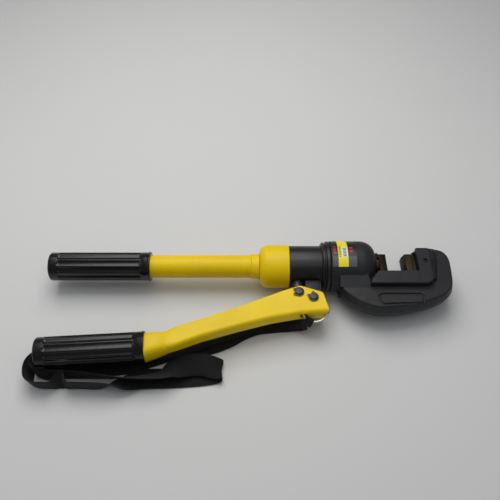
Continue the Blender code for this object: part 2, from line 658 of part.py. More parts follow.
def build_head_fittings(head, mats):
    bush = [(SPIGOT_FRONT_X + GAP, RAM_R + GAP), (SPIGOT_FRONT_X + GAP, 0.0244),
            (BARREL_STEP_X - GAP, 0.0244), (BARREL_STEP_X - GAP, 0.0170), (0.1488, 0.0170),
            (0.1488, RAM_R + GAP)]
    turned("ram_guide_bush", bush, mats["bronze"], head, steps=SEAL_STEPS)
    turned("ram_wiper", ring_profile(0.1491, 0.1518, RAM_R + GAP, 0.0170), mats["seal_rubber"],
           head, steps=SEAL_STEPS)

    back, front = FIXED_BLADE_X[1], FIXED_BLADE_X[0]
    build_blade("fixed_blade", back, front, 0.0033, MOUTH_FRONT_X - 0.0002, 0.2165, head, mats)
    seat_outline = rounded([(back + GAP, MOUTH_FLOOR_Y + GAP, 0), (MOUTH_FRONT_X - GAP,
                           MOUTH_FLOOR_Y + GAP, 0), (MOUTH_FRONT_X - GAP, 0.0135, 0.0005),
                           (back + GAP, 0.0118, 0.0005)], 1)
    seat = plate("fixed_blade_seat", seat_outline, -0.0125, 0.0125, mats["blade_steel"], head)
    cut_hole(seat, "seat_hole", (0, 0, 0), "X", 0.19, 0.21, SHANK_HOLE_R, head)
    screw = [(0.0054, 0), (0.0060, 0.0018), (0.0070, 0.0025), (0.0180, 0.0025), (0.0180, 0.0013),
             (0.0160, 0.0013), (0.0160, 0)]
    turned("fixed_blade_screw", screw, mats["pin_steel"], head, (0.2121, -0.0050, 0), "Z", 16)


def build_blade(name, back_x, edge_x, bevel_depth, shank_from, shank_to, parent, mats):
    """A wedge-fronted block whose edge runs along Y, with a round shank on its back."""
    direction = 1 if edge_x > back_x else -1
    bevel_x = edge_x - direction * bevel_depth
    profile = [(back_x, -BLADE_HALF), (bevel_x, -BLADE_HALF), (edge_x, -BLADE_EDGE_HALF),
               (edge_x, BLADE_EDGE_HALF), (bevel_x, BLADE_HALF), (back_x, BLADE_HALF)]
    if direction < 0:
        profile.reverse()
    # The profile lies in XZ: the plate is extruded along its own Z and stood on edge.
    mesh = plate_mesh(name, profile, -BLADE_TOP_Y, -(MOUTH_FLOOR_Y + GAP), 0.0003)
    blade = add_object(name, mesh, mats["blade_steel"], parent, (0, 0, 0), (math.pi / 2, 0, 0))
    overlap = 0.001
    shank = turned("guide_" + name + "_shank",
                   rod_profile(min(shank_from, back_x - overlap), max(shank_to, back_x + overlap),
                               SHANK_R), None, parent, steps=SMALL_STEPS)
    combine(blade, shank, "UNION")


# ---------------------------------------------------------------- ram

def build_ram(ram, mats):
    profile = [(PISTON_X, 0), (PISTON_X, PISTON_R - 0.0006), (PISTON_X + 0.0006, PISTON_R),
               (0.0750, PISTON_R), (0.0750, 0.0156), (0.0800, 0.0156), (0.0800, PISTON_R),
               (0.0820, PISTON_R), (0.0820, 0.0170), (0.0850, 0.0170), (0.0850, PISTON_R),
               (PISTON_FRONT_X, PISTON_R), (PISTON_FRONT_X, RAM_R), (RAM_NOSE_X, RAM_R),
               (RAM_NOSE_X, RAM_NOSE_R - 0.0006), (RAM_NOSE_X + 0.0006, RAM_NOSE_R),
               (RAM_FRONT_X - 0.0006, RAM_NOSE_R), (RAM_FRONT_X, RAM_NOSE_R - 0.0006),
               (RAM_FRONT_X, SHANK_HOLE_R), (RAM_SOCKET_X, SHANK_HOLE_R), (RAM_SOCKET_X, 0)]
    piston = turned("piston_ram", profile, mats["blade_steel"], ram, steps=SEAL_STEPS)
    cut_hole(piston, "ram_grub_hole", (RAM_GRUB_X, 0, 0), "Z", 0.002, 0.020, 0.0018, ram, 12)
    turned("piston_seal", ring_profile(0.0753, 0.0797, 0.0159, 0.01875), mats["seal_rubber"], ram,
           steps=SEAL_STEPS)
    turned("piston_wear_ring", ring_profile(0.0823, 0.0847, 0.0173, 0.01875), mats["bronze"], ram,
           steps=SEAL_STEPS)
    build_blade("moving_blade", MOVING_BLADE_X[0], MOVING_BLADE_X[1], 0.0025, 0.1460,
                MOVING_BLADE_X[0], ram, mats)
    screw = [(0.0054, 0), (0.0060, 0.0013), (0.0066, 0.0015), (0.0130, 0.0015), (0.0130, 0.0008),
             (0.0120, 0.0008), (0.0120, 0)]
    turned("moving_blade_screw", screw, mats["pin_steel"], ram, (RAM_GRUB_X, 0, 0), "Z", 12)


def build_spring(head, mats):
    """The coil that pushes the piston back, between the piston and the guide bush."""
    start = PISTON_FRONT_X + SPRING_WIRE_R + GAP
    end = SPIGOT_FRONT_X - SPRING_WIRE_R - GAP
    turn_points = 10
    count = round(SPRING_TURNS * turn_points)
    curve = bpy.data.curves.new("ram_return_spring", "CURVE")
    curve.dimensions = "3D"
    curve.bevel_depth = SPRING_WIRE_R
    curve.bevel_resolution = 0
    curve.use_fill_caps = True
    spline = curve.splines.new("POLY")
    spline.points.add(count)
    for i, point in enumerate(spline.points):
        angle = i / turn_points * math.tau
        x = start + (end - start) * i / count
        point.co = (x, SPRING_R * math.cos(angle), SPRING_R * math.sin(angle), 1)
    add_object("ram_return_spring", curve, mats["spring_steel"], head)


# ---------------------------------------------------------------- lever

def build_lever_channel(lever, mats):
    # Side profile of the pressed channel. The open side is the upper edge, towards the body.
    upper = [(-0.1163, -0.0983), (-0.1003, -0.0956), (-0.0787, -0.0884), (-0.0379, -0.0735),
             (-0.0109, -0.0631), (0.0421, -0.0406)]
    nose = [(0.0605, -0.0343, 0.0020), (0.0868, -0.0434, 0.0035), (0.0918, -0.0685, 0.0015)]
    web = [(0.0582, -0.0715), (0.0247, -0.0780), (-0.0106, -0.0880), (-0.0553, -0.1021),
           (-0.1150, -0.1262)]
    corners = [(x, y, 0) for x, y in upper] + nose + [(x, y, 0) for x, y in web]
    outline = rounded(corners, 3)
    outline.reverse()
    channel = plate("lever_channel", outline, -CHANNEL_HALF, CHANNEL_HALF, mats["yellow_paint"],
                    lever, bevel=0.0008)

    end_wall = 0.0030
    inside = [(0.1100, -0.0685 + SHEET)]
    inside += [(x + 0.0004, y + SHEET * 1.05) for x, y in web[:-1]]
    inside += [(-0.1150 + end_wall, -0.1262 + SHEET * 2.1), (-0.1163 + end_wall, -0.0400),
               (0.1100, 0.0100)]
    inside.reverse()
    hollow = add_object("cut_channel", plate_mesh("cut_channel", inside, -CHANNEL_HALF + SHEET,
                                                  CHANNEL_HALF - SHEET), None, lever)
    combine(channel, hollow, "DIFFERENCE")

    for name, (x, y) in (("fulcrum", FULCRUM), ("plunger_pin", PLUNGER_PIN)):
        cut_hole(channel, name + "_holes", (x, y, 0), "Z", -0.02, 0.02, PIN_HOLE_R, lever)

    # A slot and a front notch in the web, where the carrying ring passes through.
    for name, low_x, high_x in (("slot", 0.0585, 0.0675), ("notch", 0.0875, 0.0950)):
        opening = box_outline((low_x, -0.0800), (high_x, -0.0600))
        cutter = add_object("cut_ring_" + name, plate_mesh("cut_ring_" + name, opening, -0.0035,
                                                           0.0035), None, lever)
        combine(channel, cutter, "DIFFERENCE")

    # The tang is the rolled end of the channel, inside the grip.
    mouth_x, mouth_y = LEVER_GRIP_PLACE
    tang_profile = ring_profile(-LEVER_GRIP_LENGTH + GRIP_END_WALL + GAP, 0.0035, TUBE_BORE_R, TUBE_R)
    tang = turned("guide_tang", tang_profile, None, lever, (mouth_x, mouth_y, 0))
    tang.rotation_euler = (0, 0, LEVER_GRIP_TILT)
    combine(channel, tang, "UNION")


def build_lever_fittings(lever, mats):
    grip = grip_mesh("lever_grip", LEVER_GRIP_LENGTH)
    add_object("lever_grip", grip, mats["grip_plastic"], lever, (*LEVER_GRIP_PLACE, 0),
               (0, 0, LEVER_GRIP_TILT))
    groove = PIN_R - 0.0007
    start, end = CLIP_GROOVE_Z, CLIP_GROOVE_Z + CLIP_GROOVE_WIDTH
    half_pin = [(start, PIN_R), (start, groove), (end, groove), (end, PIN_R),
                (PIN_HALF - 0.0005, PIN_R), (PIN_HALF, PIN_R - 0.0005), (PIN_HALF, 0)]
    profile = [(-z, r) for z, r in reversed(half_pin)] + half_pin
    # Gap of each clip as an angle from +X.
    for name, (x, y), gap_deg in (("fulcrum_pin", FULCRUM, 125), ("plunger_pin", PLUNGER_PIN, 180)):
        turned(name, profile, mats["pin_steel"], lever, (x, y, 0), "Z", SMALL_STEPS)
        for side, z in (("upper", CLIP_GROOVE_Z + 0.00025),
                        ("lower", -CLIP_GROOVE_Z - 0.00025 - CLIP_THICKNESS)):
            build_clip(name + "_clip_" + side, (x, y, z), gap_deg, lever, mats)


def build_clip(name, place, gap_deg, parent, mats):
    """An external retaining ring: a C with two eared ends, each with a hole for the pliers."""
    inner = PIN_R - 0.0004
    half_gap = 15
    ear_span = 20
    steps = 24
    arc_in = []
    arc_out = []
    for i in range(steps + 1):
        angle_deg = half_gap + (360 - 2 * half_gap) * i / steps
        angle = math.radians(angle_deg)
        from_ear = min(abs(angle_deg - CLIP_EAR_DEG), abs(360 - angle_deg - CLIP_EAR_DEG))
        rise = CLIP_EAR * math.cos(min(from_ear / ear_span, 1.0) * math.pi / 2)
        radius = CLIP_R + rise
        arc_out.append((radius * math.cos(angle), radius * math.sin(angle)))
        arc_in.append((inner * math.cos(angle), inner * math.sin(angle)))
    clip = plate(name, arc_out + arc_in[::-1], 0, CLIP_THICKNESS, mats["pin_steel"], parent, place)
    clip.rotation_euler = (0, 0, math.radians(gap_deg))
    for side in (-1, 1):
        angle = math.radians(gap_deg + side * CLIP_EAR_DEG)
        hole = (place[0] + CLIP_HOLE_AT * math.cos(angle), place[1] + CLIP_HOLE_AT * math.sin(angle),
                place[2])
        cut_hole(clip, "%s_ear_%d" % (name, side), hole, "Z", -0.001, 0.002, 0.0008, parent, 8)


# ---------------------------------------------------------------- carrying ring and strap

def build_ring(ring, mats):
    """A D-ring: bow outside the lever's web, straight bar inside the channel."""
    hinge_y = RING_HINGE_Y
    centre_x, centre_y = RING_CENTRE
    bar_drop = centre_y - RING_BAR_Y
    half_bar = math.sqrt(RING_R ** 2 - bar_drop ** 2)
    start_deg = -math.degrees(math.asin(bar_drop / RING_R))
    bow = arc((centre_x, centre_y), RING_R, start_deg, -180 - start_deg, 22)
    corner = 0.0022
    bar = [(centre_x - half_bar + corner, RING_BAR_Y + 0.0012),
           (centre_x - half_bar + 2 * corner, RING_BAR_Y + 0.0016),
           (centre_x + half_bar - 2 * corner, RING_BAR_Y + 0.0016),
           (centre_x + half_bar - corner, RING_BAR_Y + 0.0012)]
    curve = bpy.data.curves.new("strap_ring", "CURVE")
    curve.dimensions = "3D"
    curve.bevel_depth = RING_WIRE_R
    curve.bevel_resolution = 2
    spline = curve.splines.new("POLY")
    points = bow + bar
    spline.points.add(len(points) - 1)
    for point, (x, y) in zip(spline.points, points):
        point.co = (x - centre_x, y - hinge_y, 0, 1)
    spline.use_cyclic_u = True
    add_object("strap_ring", curve, mats["bright_steel"], ring, (0, 0, 0), (RING_TILT, 0, 0))


def build_strap_loop(ring, mats):
    """The sewn end of the strap: gathered round the ring's bow, with a tail under the web."""
    bow_low = RING_CENTRE[1] - RING_R - RING_HINGE_Y
    wire_y = (bow_low + 0.0004) * math.cos(RING_TILT)
    wire_z = (bow_low + 0.0004) * math.sin(RING_TILT)
    half = 0.0023
    cloth = 0.0012
    edge = half + cloth
    outer = [(-edge, -edge), (-0.0005, -0.0072), (0.0060, -0.0125), (0.0060, -0.0085),
             (0.0020, -0.0060), (edge, -edge), (edge, edge), (-edge, edge)]
    inner = box_outline((-half, -half), (half, half))
    half_width = 0.0055
    # Both outlines lie in YZ: plates extruded along their own Z and turned to stand along X.
    turn = Matrix.Rotation(math.pi / 2, 4, "Z") @ Matrix.Rotation(math.pi / 2, 4, "X")
    place = (0, wire_y, wire_z)
    loop = add_object("strap_loop", plate_mesh("strap_loop", outer, -half_width, half_width),
                      mats["webbing"], ring, place, turn.to_euler())
    tunnel = add_object("cut_strap_loop", plate_mesh("cut_strap_loop", inner, -0.02, 0.02), None,
                        ring, place, turn.to_euler())
    combine(loop, tunnel, "DIFFERENCE")


def build_strap(lever, mats):
    """Both strands of the strap: the run under the lever's web and the folded bundle."""
    floor = -AXIS_Z
    half = WEBBING_PAIR / 2
    flat = floor + half
    route = [((0.0700, -0.0640, floor + 0.0110), 40), ((0.0560, -0.0600, floor + 0.0060), 20),
             ((0.0400, -0.0600, flat), 0), ((0.0150, -0.0645, flat), 0),
             ((-0.0090, -0.0705, flat), 0), ((-0.0240, -0.0790, flat), 0)]
    frames = []
    for i, (point, tilt_deg) in enumerate(route):
        before = Vector(route[max(i - 1, 0)][0])
        after = Vector(route[min(i + 1, len(route) - 1)][0])
        along = (after - before).normalized()
        across = along.cross(Vector((0, 0, 1))).normalized()
        across = Matrix.Rotation(math.radians(tilt_deg), 3, along) @ across
        up = across.cross(along).normalized()
        width_scale = 0.56 if i == 0 else (0.8 if i == 1 else 1.0)
        frames.append((point, across * width_scale, up))
    mesh = sweep_mesh("strap_run", frames, WEBBING_WIDTH / 2, half)
    add_object("strap_run", mesh, mats["webbing"], lever)

    side = STRAP_SIDE_Y
    end = STRAP_END_X
    bundle = rounded([(-0.0290, -0.0860, 0.003), (-0.0310, side, 0.012), (-0.2450, side, 0.012),
                      (end, -0.1400, 0.008), (end, -0.1140, 0.012), (-0.2400, -0.0940, 0.012),
                      (-0.0970, -0.0900, 0.010)], 4)
    bundle.reverse()
    plate("strap_bundle", bundle, floor, floor + BUNDLE_HEIGHT, mats["webbing"], lever, bevel=0.0020)


# ---------------------------------------------------------------- assembly

def main():
    clear_scene()
    mats = make_materials()
    centre_x = (STRAP_END_X + HEAD_END_X) / 2
    centre_y = (STRAP_SIDE_Y + BARREL_R) / 2
    footprint = add_empty("footprint", (-centre_x, -centre_y, AXIS_Z))
    body = add_empty("body", (0, 0, 0), footprint)
    head = add_empty("head", (0, 0, 0), footprint)
    ram = add_empty("ram", (0, 0, 0), head)
    lever_axis = add_empty("lever_axis", (*FULCRUM, 0), footprint)
    lever = add_empty("lever", (-FULCRUM[0], -FULCRUM[1], 0), lever_axis)
    plunger = add_empty("plunger", (PLUNGER_X, PLUNGER_PIN[1], 0), footprint)
    ring = add_empty("ring", (RING_CENTRE[0], RING_HINGE_Y, 0), lever)
    release = add_empty("release", (RELEASE_X, 0, RELEASE_SEAT_Z), footprint)

    build_handle(body, mats)
    build_bladder(body, mats)
    build_cup(body, mats)
    build_cylinder(body, mats)
    build_collar(body, mats)
    build_valves(body, mats)
    build_plunger(body, plunger, mats)
    build_lug(body, mats)
    build_release(release, mats)
    build_head(head, mats)
    build_head_fittings(head, mats)
    build_ram(ram, mats)
    build_spring(head, mats)
    build_lever_channel(lever, mats)
    build_lever_fittings(lever, mats)
    build_ring(ring, mats)
    build_strap_loop(ring, mats)
    build_strap(lever, mats)


main()
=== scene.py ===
"""Looks of the hand hydraulic bar cutter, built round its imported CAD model.

Pieces are drawn in the tool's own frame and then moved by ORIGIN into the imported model's frame. In the
tool's frame Y = 0 and Z = 0 lie on the main axis, X runs from the main grip to the head, and lengths are
in metres.
"""
import math

import bmesh
import bpy
from mathutils import Matrix, Vector


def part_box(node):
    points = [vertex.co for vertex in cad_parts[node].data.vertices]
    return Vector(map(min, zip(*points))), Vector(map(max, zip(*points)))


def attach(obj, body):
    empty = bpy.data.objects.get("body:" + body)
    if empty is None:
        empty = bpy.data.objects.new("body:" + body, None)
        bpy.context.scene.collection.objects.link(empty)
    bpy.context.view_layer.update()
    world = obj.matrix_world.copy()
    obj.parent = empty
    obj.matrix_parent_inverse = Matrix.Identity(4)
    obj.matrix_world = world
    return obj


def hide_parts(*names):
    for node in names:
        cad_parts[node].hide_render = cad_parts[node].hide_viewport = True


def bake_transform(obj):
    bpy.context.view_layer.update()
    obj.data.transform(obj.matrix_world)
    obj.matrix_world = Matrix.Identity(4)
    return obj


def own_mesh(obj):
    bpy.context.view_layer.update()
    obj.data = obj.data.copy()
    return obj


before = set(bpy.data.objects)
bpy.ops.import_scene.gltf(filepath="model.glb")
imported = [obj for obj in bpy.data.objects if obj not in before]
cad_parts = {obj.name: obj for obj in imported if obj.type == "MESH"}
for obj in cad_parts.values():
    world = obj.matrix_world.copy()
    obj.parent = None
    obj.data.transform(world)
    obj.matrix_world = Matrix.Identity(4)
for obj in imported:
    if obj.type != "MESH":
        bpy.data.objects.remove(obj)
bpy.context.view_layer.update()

# The tool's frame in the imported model's frame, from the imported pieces.
GRIP_END_X = -0.2443
AXIS_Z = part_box("head_frame")[1].z / 2
ORIGIN = Vector((
    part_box("main_grip")[0].x - GRIP_END_X,
    (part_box("handle_tube")[0].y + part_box("handle_tube")[1].y) / 2,
    AXIS_Z,
))
FINE = 96                          # facets round a large turned piece
SMALL = 40                         # facets round a pin
GRIP_FLUTES = 13
MAIN_GRIP_LENGTH = 0.1233
MAIN_GRIP_MOUTH_X = -0.1210
MAIN_GRIP_ROLL = 49.4              # turns the flutes to where they lie round each grip, in degrees
LEVER_GRIP_LENGTH = 0.1210
LEVER_GRIP_MOUTH = (-0.1169, -0.1110)
LEVER_GRIP_ROLL = 41.5
LEVER_GRIP_TILT = math.radians(3.47)
CLIP_EAR_DEG = 34
FULCRUM = (0.0751, -0.0506)
PLUNGER_PIN = (0.0585, -0.0434)
PIN_HOLE_R = 0.0048
PLUNGER_X = 0.0579
RELEASE_X = 0.0620
COLLAR_X = 0.0873
SEAM_X = 0.0975                    # the joint between the collar and the head's barrel
SHOULDER_X = 0.1345
NOSE_X = 0.1526
NOSE_R = 0.0162
BARREL_R = 0.0310
HEAD_END_X = 0.2465
ARM_TOP_Y = 0.0145
FLANGE_HALF = 0.0115               # half the thickness of the C-shaped flange
RAM_NOSE_X = 0.1530
RAM_FRONT_X = 0.1579
RAM_GRUB_X = 0.1555
RING_R = 0.0160
RING_WIRE_R = 0.0015
RING_CENTRE = (0.0768, -0.0612)
RING_BAR_Y = -0.0630
RING_HINGE_Y = -0.0690
RING_TILT = math.radians(33.0)
STRAP_HALF_WIDTH = 0.0125
STRAP_HALF_THICKNESS = 0.00085
FLOOR_GAP = 0.0002                 # the strap stays this far over z = 0, and the stage as far under it


# ---------------------------------------------------------------- materials

class Shader:
    """A node material. Its methods add nodes and return the socket that the next one takes."""

    def __init__(self, name):
        self.material = bpy.data.materials.new(name)
        self.material.use_nodes = True
        self.tree = self.material.node_tree
        self.principled = self.tree.nodes["Principled BSDF"]
        self.place = self.node("ShaderNodeTexCoord").outputs["Object"]

    def node(self, kind, **settings):
        made = self.tree.nodes.new(kind)
        for key, value in settings.items():
            setattr(made, key, value)
        return made

    def feed(self, socket, value):
        if isinstance(value, bpy.types.NodeSocket):
            self.tree.links.new(value, socket)
        else:
            socket.default_value = value

    def math(self, operation, *values):
        made = self.node("ShaderNodeMath", operation=operation)
        for socket, value in zip(made.inputs, values):
            self.feed(socket, value)
        return made.outputs[0]

    def noise(self, scale, detail=4.0, roughness=0.55, place=None):
        made = self.node("ShaderNodeTexNoise")
        self.feed(made.inputs["Vector"], place or self.place)
        for key, value in (("Scale", scale), ("Detail", detail), ("Roughness", roughness)):
            made.inputs[key].default_value = value
        return made.outputs["Fac"]

    def stretched(self, scale):
        made = self.node("ShaderNodeMapping")
        self.feed(made.inputs["Vector"], self.place)
        made.inputs["Scale"].default_value = scale
        return made.outputs["Vector"]

    def span(self, value, low, high, to_low, to_high):
        made = self.node("ShaderNodeMapRange")
        for socket, item in zip(made.inputs, (value, low, high, to_low, to_high)):
            self.feed(socket, item)
        return made.outputs["Result"]

    def mix(self, share, first, second):
        made = self.node("ShaderNodeMix", data_type="RGBA")
        self.feed(made.inputs["Factor"], share)
        sockets = [s for s in made.inputs if s.type == "RGBA"]
        for socket, colour in zip(sockets, (first, second)):
            self.feed(socket, (*colour, 1.0) if isinstance(colour, tuple) else colour)
        return [s for s in made.outputs if s.type == "RGBA"][0]

    def bump(self, height, depth):
        made = self.node("ShaderNodeBump")
        made.inputs["Distance"].default_value = depth
        made.inputs["Strength"].default_value = 1.0
        self.feed(made.inputs["Height"], height)
        return made.outputs["Normal"]

    def finish(self, colour, roughness, normal, metallic=0.0, **sockets):
        self.feed(self.principled.inputs["Base Color"], colour)
        self.feed(self.principled.inputs["Roughness"], roughness)
        self.principled.inputs["Metallic"].default_value = metallic
        self.feed(self.principled.inputs["Normal"], normal)
        for key, value in sockets.items():
            self.principled.inputs[key.replace("_", " ")].default_value = value
        return self.material


def painted(name, dark, light, roughness, grain_scale, grain_depth, patch_scale=18.0, metallic=0.0,
            spread=0.08, **sockets):
    """Paint, plastic, rubber or oxide: cloudy colour, varied gloss and a fine grain in the surface."""
    shader = Shader(name)
    cloud = shader.noise(patch_scale, 5.0, 0.6)
    share = shader.span(cloud, 0.35, 0.65, 0.0, 1.0)
    colour = shader.mix(share, dark, light)
    gloss = shader.span(shader.noise(patch_scale * 6, 3.0), 0.3, 0.7, roughness - spread / 2,
                        roughness + spread / 2)
    normal = shader.bump(shader.noise(grain_scale, 3.0, 0.6), grain_depth)
    return shader.finish(colour, gloss, normal, metallic, **sockets)


def machined(name, dark, light, roughness, stretch, **sockets):
    """Bare metal with fine tool marks that run across the stretched direction."""
    shader = Shader(name)
    marks = shader.noise(1.0, 4.0, 0.65, shader.stretched(stretch))
    colour = shader.mix(shader.span(marks, 0.3, 0.7, 0.0, 1.0), dark, light)
    cloud = shader.noise(60.0, 3.0)
    gloss = shader.math("ADD", shader.span(marks, 0.3, 0.7, roughness - 0.06, roughness + 0.06),
                        shader.span(cloud, 0.3, 0.7, -0.03, 0.05))
    normal = shader.bump(marks, 0.00002)
    return shader.finish(colour, gloss, normal, 1.0, **sockets)


def webbing_material():
    """Woven webbing: columns of short floats, each column half a float on from the next. Uses the UVs."""
    column_width, float_length = 0.00130, 0.0024
    shader = Shader("webbing")
    uv = shader.node("ShaderNodeUVMap", uv_map="weave").outputs["UV"]
    split = shader.node("ShaderNodeSeparateXYZ")
    shader.feed(split.inputs[0], uv)
    across, along = split.outputs[0], split.outputs[1]
    column = shader.math("MULTIPLY", across, 1 / column_width)
    shift = shader.math("MULTIPLY", shader.math("MODULO", shader.math("FLOOR", column), 2.0), 0.5)
    row = shader.math("ADD", shader.math("MULTIPLY", along, 1 / float_length), shift)
    ridge = shader.math("SINE", shader.math("MULTIPLY", shader.math("FRACT", column), math.pi))
    float_rise = shader.math("SINE", shader.math("MULTIPLY", shader.math("FRACT", row), math.pi))
    weave = shader.math("MULTIPLY", ridge, float_rise)
    lint = shader.noise(900.0, 3.0)
    cloud = shader.noise(30.0, 4.0)
    height = shader.math("ADD", weave, shader.math("MULTIPLY", lint, 0.25))
    # The colour is lighter on the floats' tops and darker in the gaps between them. The dark gaps are
    # painted shade in the weave's hollows, with a random cloudy tone over it.
    share = shader.math("MULTIPLY", weave, shader.span(cloud, 0.3, 0.7, 0.5, 1.0))
    colour = shader.mix(share, (0.0015, 0.0015, 0.0018), (0.030, 0.030, 0.034))
    rough = shader.span(weave, 0.0, 1.0, 0.92, 0.72)
    normal = shader.bump(height, 0.00022)
    return shader.finish(colour, rough, normal, Specular_IOR_Level=0.25, Sheen_Weight=0.06,
                         Sheen_Roughness=0.45)


def label_material():
    """The barrel label: a yellow stripe between dark panels with silver feet, and plain marks.

    UV runs across the label in X and along its wrap in Y, both in metres.
    """
    shader = Shader("label_print")
    split = shader.node("ShaderNodeSeparateXYZ")
    shader.feed(split.inputs[0], shader.node("ShaderNodeUVMap", uv_map="weave").outputs["UV"])
    across, along = split.outputs[0], split.outputs[1]

    def between(value, low, high):
        return shader.math("MULTIPLY", shader.math("GREATER_THAN", value, low),
                           shader.math("LESS_THAN", value, high))

    def patch(x0, x1, y0, y1):
        return shader.math("MULTIPLY", between(across, x0, x1), between(along, y0, y1))

    def rows(count, x0, x1, y0, y1, share):
        """A patch broken into plain bars."""
        pitch = (y1 - y0) / count
        step = shader.math("FRACT", shader.math("MULTIPLY", shader.math("SUBTRACT", along, y0),
                                                1 / pitch))
        return shader.math("MULTIPLY", patch(x0, x1, y0, y1),
                           shader.math("LESS_THAN", step, share))

    cloud = shader.noise(80.0, 3.0)
    dark = shader.mix(cloud, (0.006, 0.006, 0.0065), (0.011, 0.011, 0.012))
    silver = shader.mix(cloud, (0.060, 0.062, 0.068), (0.090, 0.092, 0.098))
    yellow = shader.mix(cloud, (0.88, 0.74, 0.002), (0.94, 0.79, 0.003))
    white = (0.72, 0.74, 0.66)
    red = (0.42, 0.020, 0.014)
    ink = (0.02, 0.02, 0.02)
    stripe = (0.0068, 0.0186)
    foot = 0.0125
    colour = shader.mix(between(along, -1.0, foot), dark, silver)
    colour = shader.mix(rows(3, 0.0016, 0.0046, 0.0165, 0.0305, 0.55), colour, red)
    colour = shader.mix(rows(2, 0.0206, 0.0246, 0.0180, 0.0290, 0.62), colour, red)
    colour = shader.mix(between(across, *stripe), colour, yellow)
    colour = shader.mix(patch(stripe[0] + 0.0044, stripe[1] - 0.0005, 0.0112, 0.0270),
                        colour, white)
    for count, x0, x1, y0, y1, share in ((8, 0.0012, 0.0036, 0.0122, 0.0300, 0.55),
                                         (6, 0.0060, 0.0098, 0.0128, 0.0258, 0.5)):
        bars = rows(count, stripe[0] + x0, stripe[0] + x1, y0, y1, share)
        colour = shader.mix(bars, colour, ink)
    normal = shader.bump(shader.noise(400.0, 2.0), 0.00001)
    return shader.finish(colour, shader.span(cloud, 0.3, 0.7, 0.30, 0.40), normal)


def floor_material():
    shader = Shader("studio_floor")
    cloud = shader.noise(3.0, 3.0)
    colour = shader.mix(cloud, (0.66, 0.665, 0.66), (0.69, 0.69, 0.685))
    return shader.finish(colour, shader.span(cloud, 0.3, 0.7, 0.75, 0.85),
                         shader.bump(shader.noise(300.0, 2.0), 0.00005))


def make_materials():
    return {
        "yellow_paint": painted("yellow_paint", (0.84, 0.580, 0.0008), (0.93, 0.655, 0.0008), 0.36,
                                900.0, 0.00006, 14.0, Specular_IOR_Level=0.25),
        "grip_plastic": painted("grip_plastic", (0.0035, 0.0035, 0.004), (0.006, 0.006, 0.0065), 0.24,
                                1500.0, 0.00003, 30.0, Specular_IOR_Level=0.45),
        "black_oxide": painted("black_oxide", (0.006, 0.006, 0.0065), (0.010, 0.010, 0.011), 0.36,
                               1200.0, 0.00003, 25.0, Specular_IOR_Level=0.40),
        "forged_black": painted("forged_black", (0.011, 0.0115, 0.0135), (0.018, 0.0185, 0.021), 0.52,
                                700.0, 0.00012, 22.0, spread=0.14, Specular_IOR_Level=0.35),
        "blade_steel": machined("blade_steel", (0.024, 0.018, 0.011), (0.046, 0.036, 0.023), 0.46,
                                (200.0, 20.0, 1500.0)),
        "pin_steel": painted("pin_steel", (0.010, 0.011, 0.013), (0.020, 0.022, 0.025), 0.36, 1500.0,
                             0.00003, 60.0),
        "lug_steel": machined("lug_steel", (0.032, 0.032, 0.042), (0.052, 0.052, 0.066), 0.46,
                              (900.0, 40.0, 400.0)),
        "bright_steel": machined("bright_steel", (0.50, 0.50, 0.48), (0.66, 0.66, 0.64), 0.24,
                                 (60.0, 900.0, 900.0)),
        "spring_steel": machined("spring_steel", (0.22, 0.22, 0.22), (0.38, 0.38, 0.38), 0.34,
                                 (300.0, 300.0, 300.0)),
        "bronze": machined("bronze", (0.42, 0.25, 0.09), (0.58, 0.38, 0.16), 0.38,
                           (900.0, 100.0, 100.0)),
        "seal_rubber": painted("seal_rubber", (0.008, 0.008, 0.008), (0.016, 0.016, 0.016), 0.62,
                               900.0, 0.00004, 50.0),
        "webbing": webbing_material(),
    }


MATERIALS = make_materials()


# ---------------------------------------------------------------- building blocks

def mesh_from(bm, name, smooth_angle=38.0):
    bmesh.ops.recalc_face_normals(bm, faces=bm.faces)
    mesh = bpy.data.meshes.new(name)
    bm.to_mesh(mesh)
    bm.free()
    mesh.shade_smooth()
    mesh.set_sharp_from_angle(angle=math.radians(smooth_angle))
    return mesh


def linked(name, mesh):
    obj = bpy.data.objects.new(name, mesh)
    bpy.context.scene.collection.objects.link(obj)
    return obj


def turned_mesh(name, profile, steps=FINE, shape=None):
    """Spin (x, radius) points about X; a profile off the axis closes into a ring."""
    bm = bmesh.new()
    verts = [bm.verts.new((x, 0, radius)) for x, radius in profile]
    edges = [bm.edges.new(pair) for pair in zip(verts, verts[1:])]
    if profile[0][1] > 0:
        edges.append(bm.edges.new((verts[-1], verts[0])))
    bmesh.ops.spin(bm, geom=verts + edges, cent=(0, 0, 0), axis=(1, 0, 0), angle=math.tau,
                   steps=steps, use_merge=True)
    bmesh.ops.remove_doubles(bm, verts=bm.verts, dist=1e-6)
    if shape is not None:
        for vert in bm.verts:
            vert.co = shape(vert.co)
    return mesh_from(bm, name)


AXIS_TURNS = {
    "X": Matrix.Identity(4),
    "Y": Matrix.Rotation(math.pi / 2, 4, "Z"),
    "-Y": Matrix.Rotation(-math.pi / 2, 4, "Z"),
    "Z": Matrix.Rotation(-math.pi / 2, 4, "Y"),
}


def turned(name, profile, place=(0, 0, 0), axis="X", steps=FINE):
    mesh = turned_mesh(name, profile, steps)
    mesh.transform(Matrix.Translation(place) @ AXIS_TURNS[axis])
    return linked(name, mesh)


def drill(name, start, stop, radius, place, axis, steps=SMALL):
    """A plain cylinder to cut a hole with."""
    return turned(name, [(start, 0), (start, radius), (stop, radius), (stop, 0)], place, axis, steps)


def arc(centre, radius, start_deg, end_deg, steps):
    points = []
    for i in range(steps + 1):
        angle = math.radians(start_deg + (end_deg - start_deg) * i / steps)
        points.append((centre[0] + radius * math.cos(angle), centre[1] + radius * math.sin(angle)))
    return points


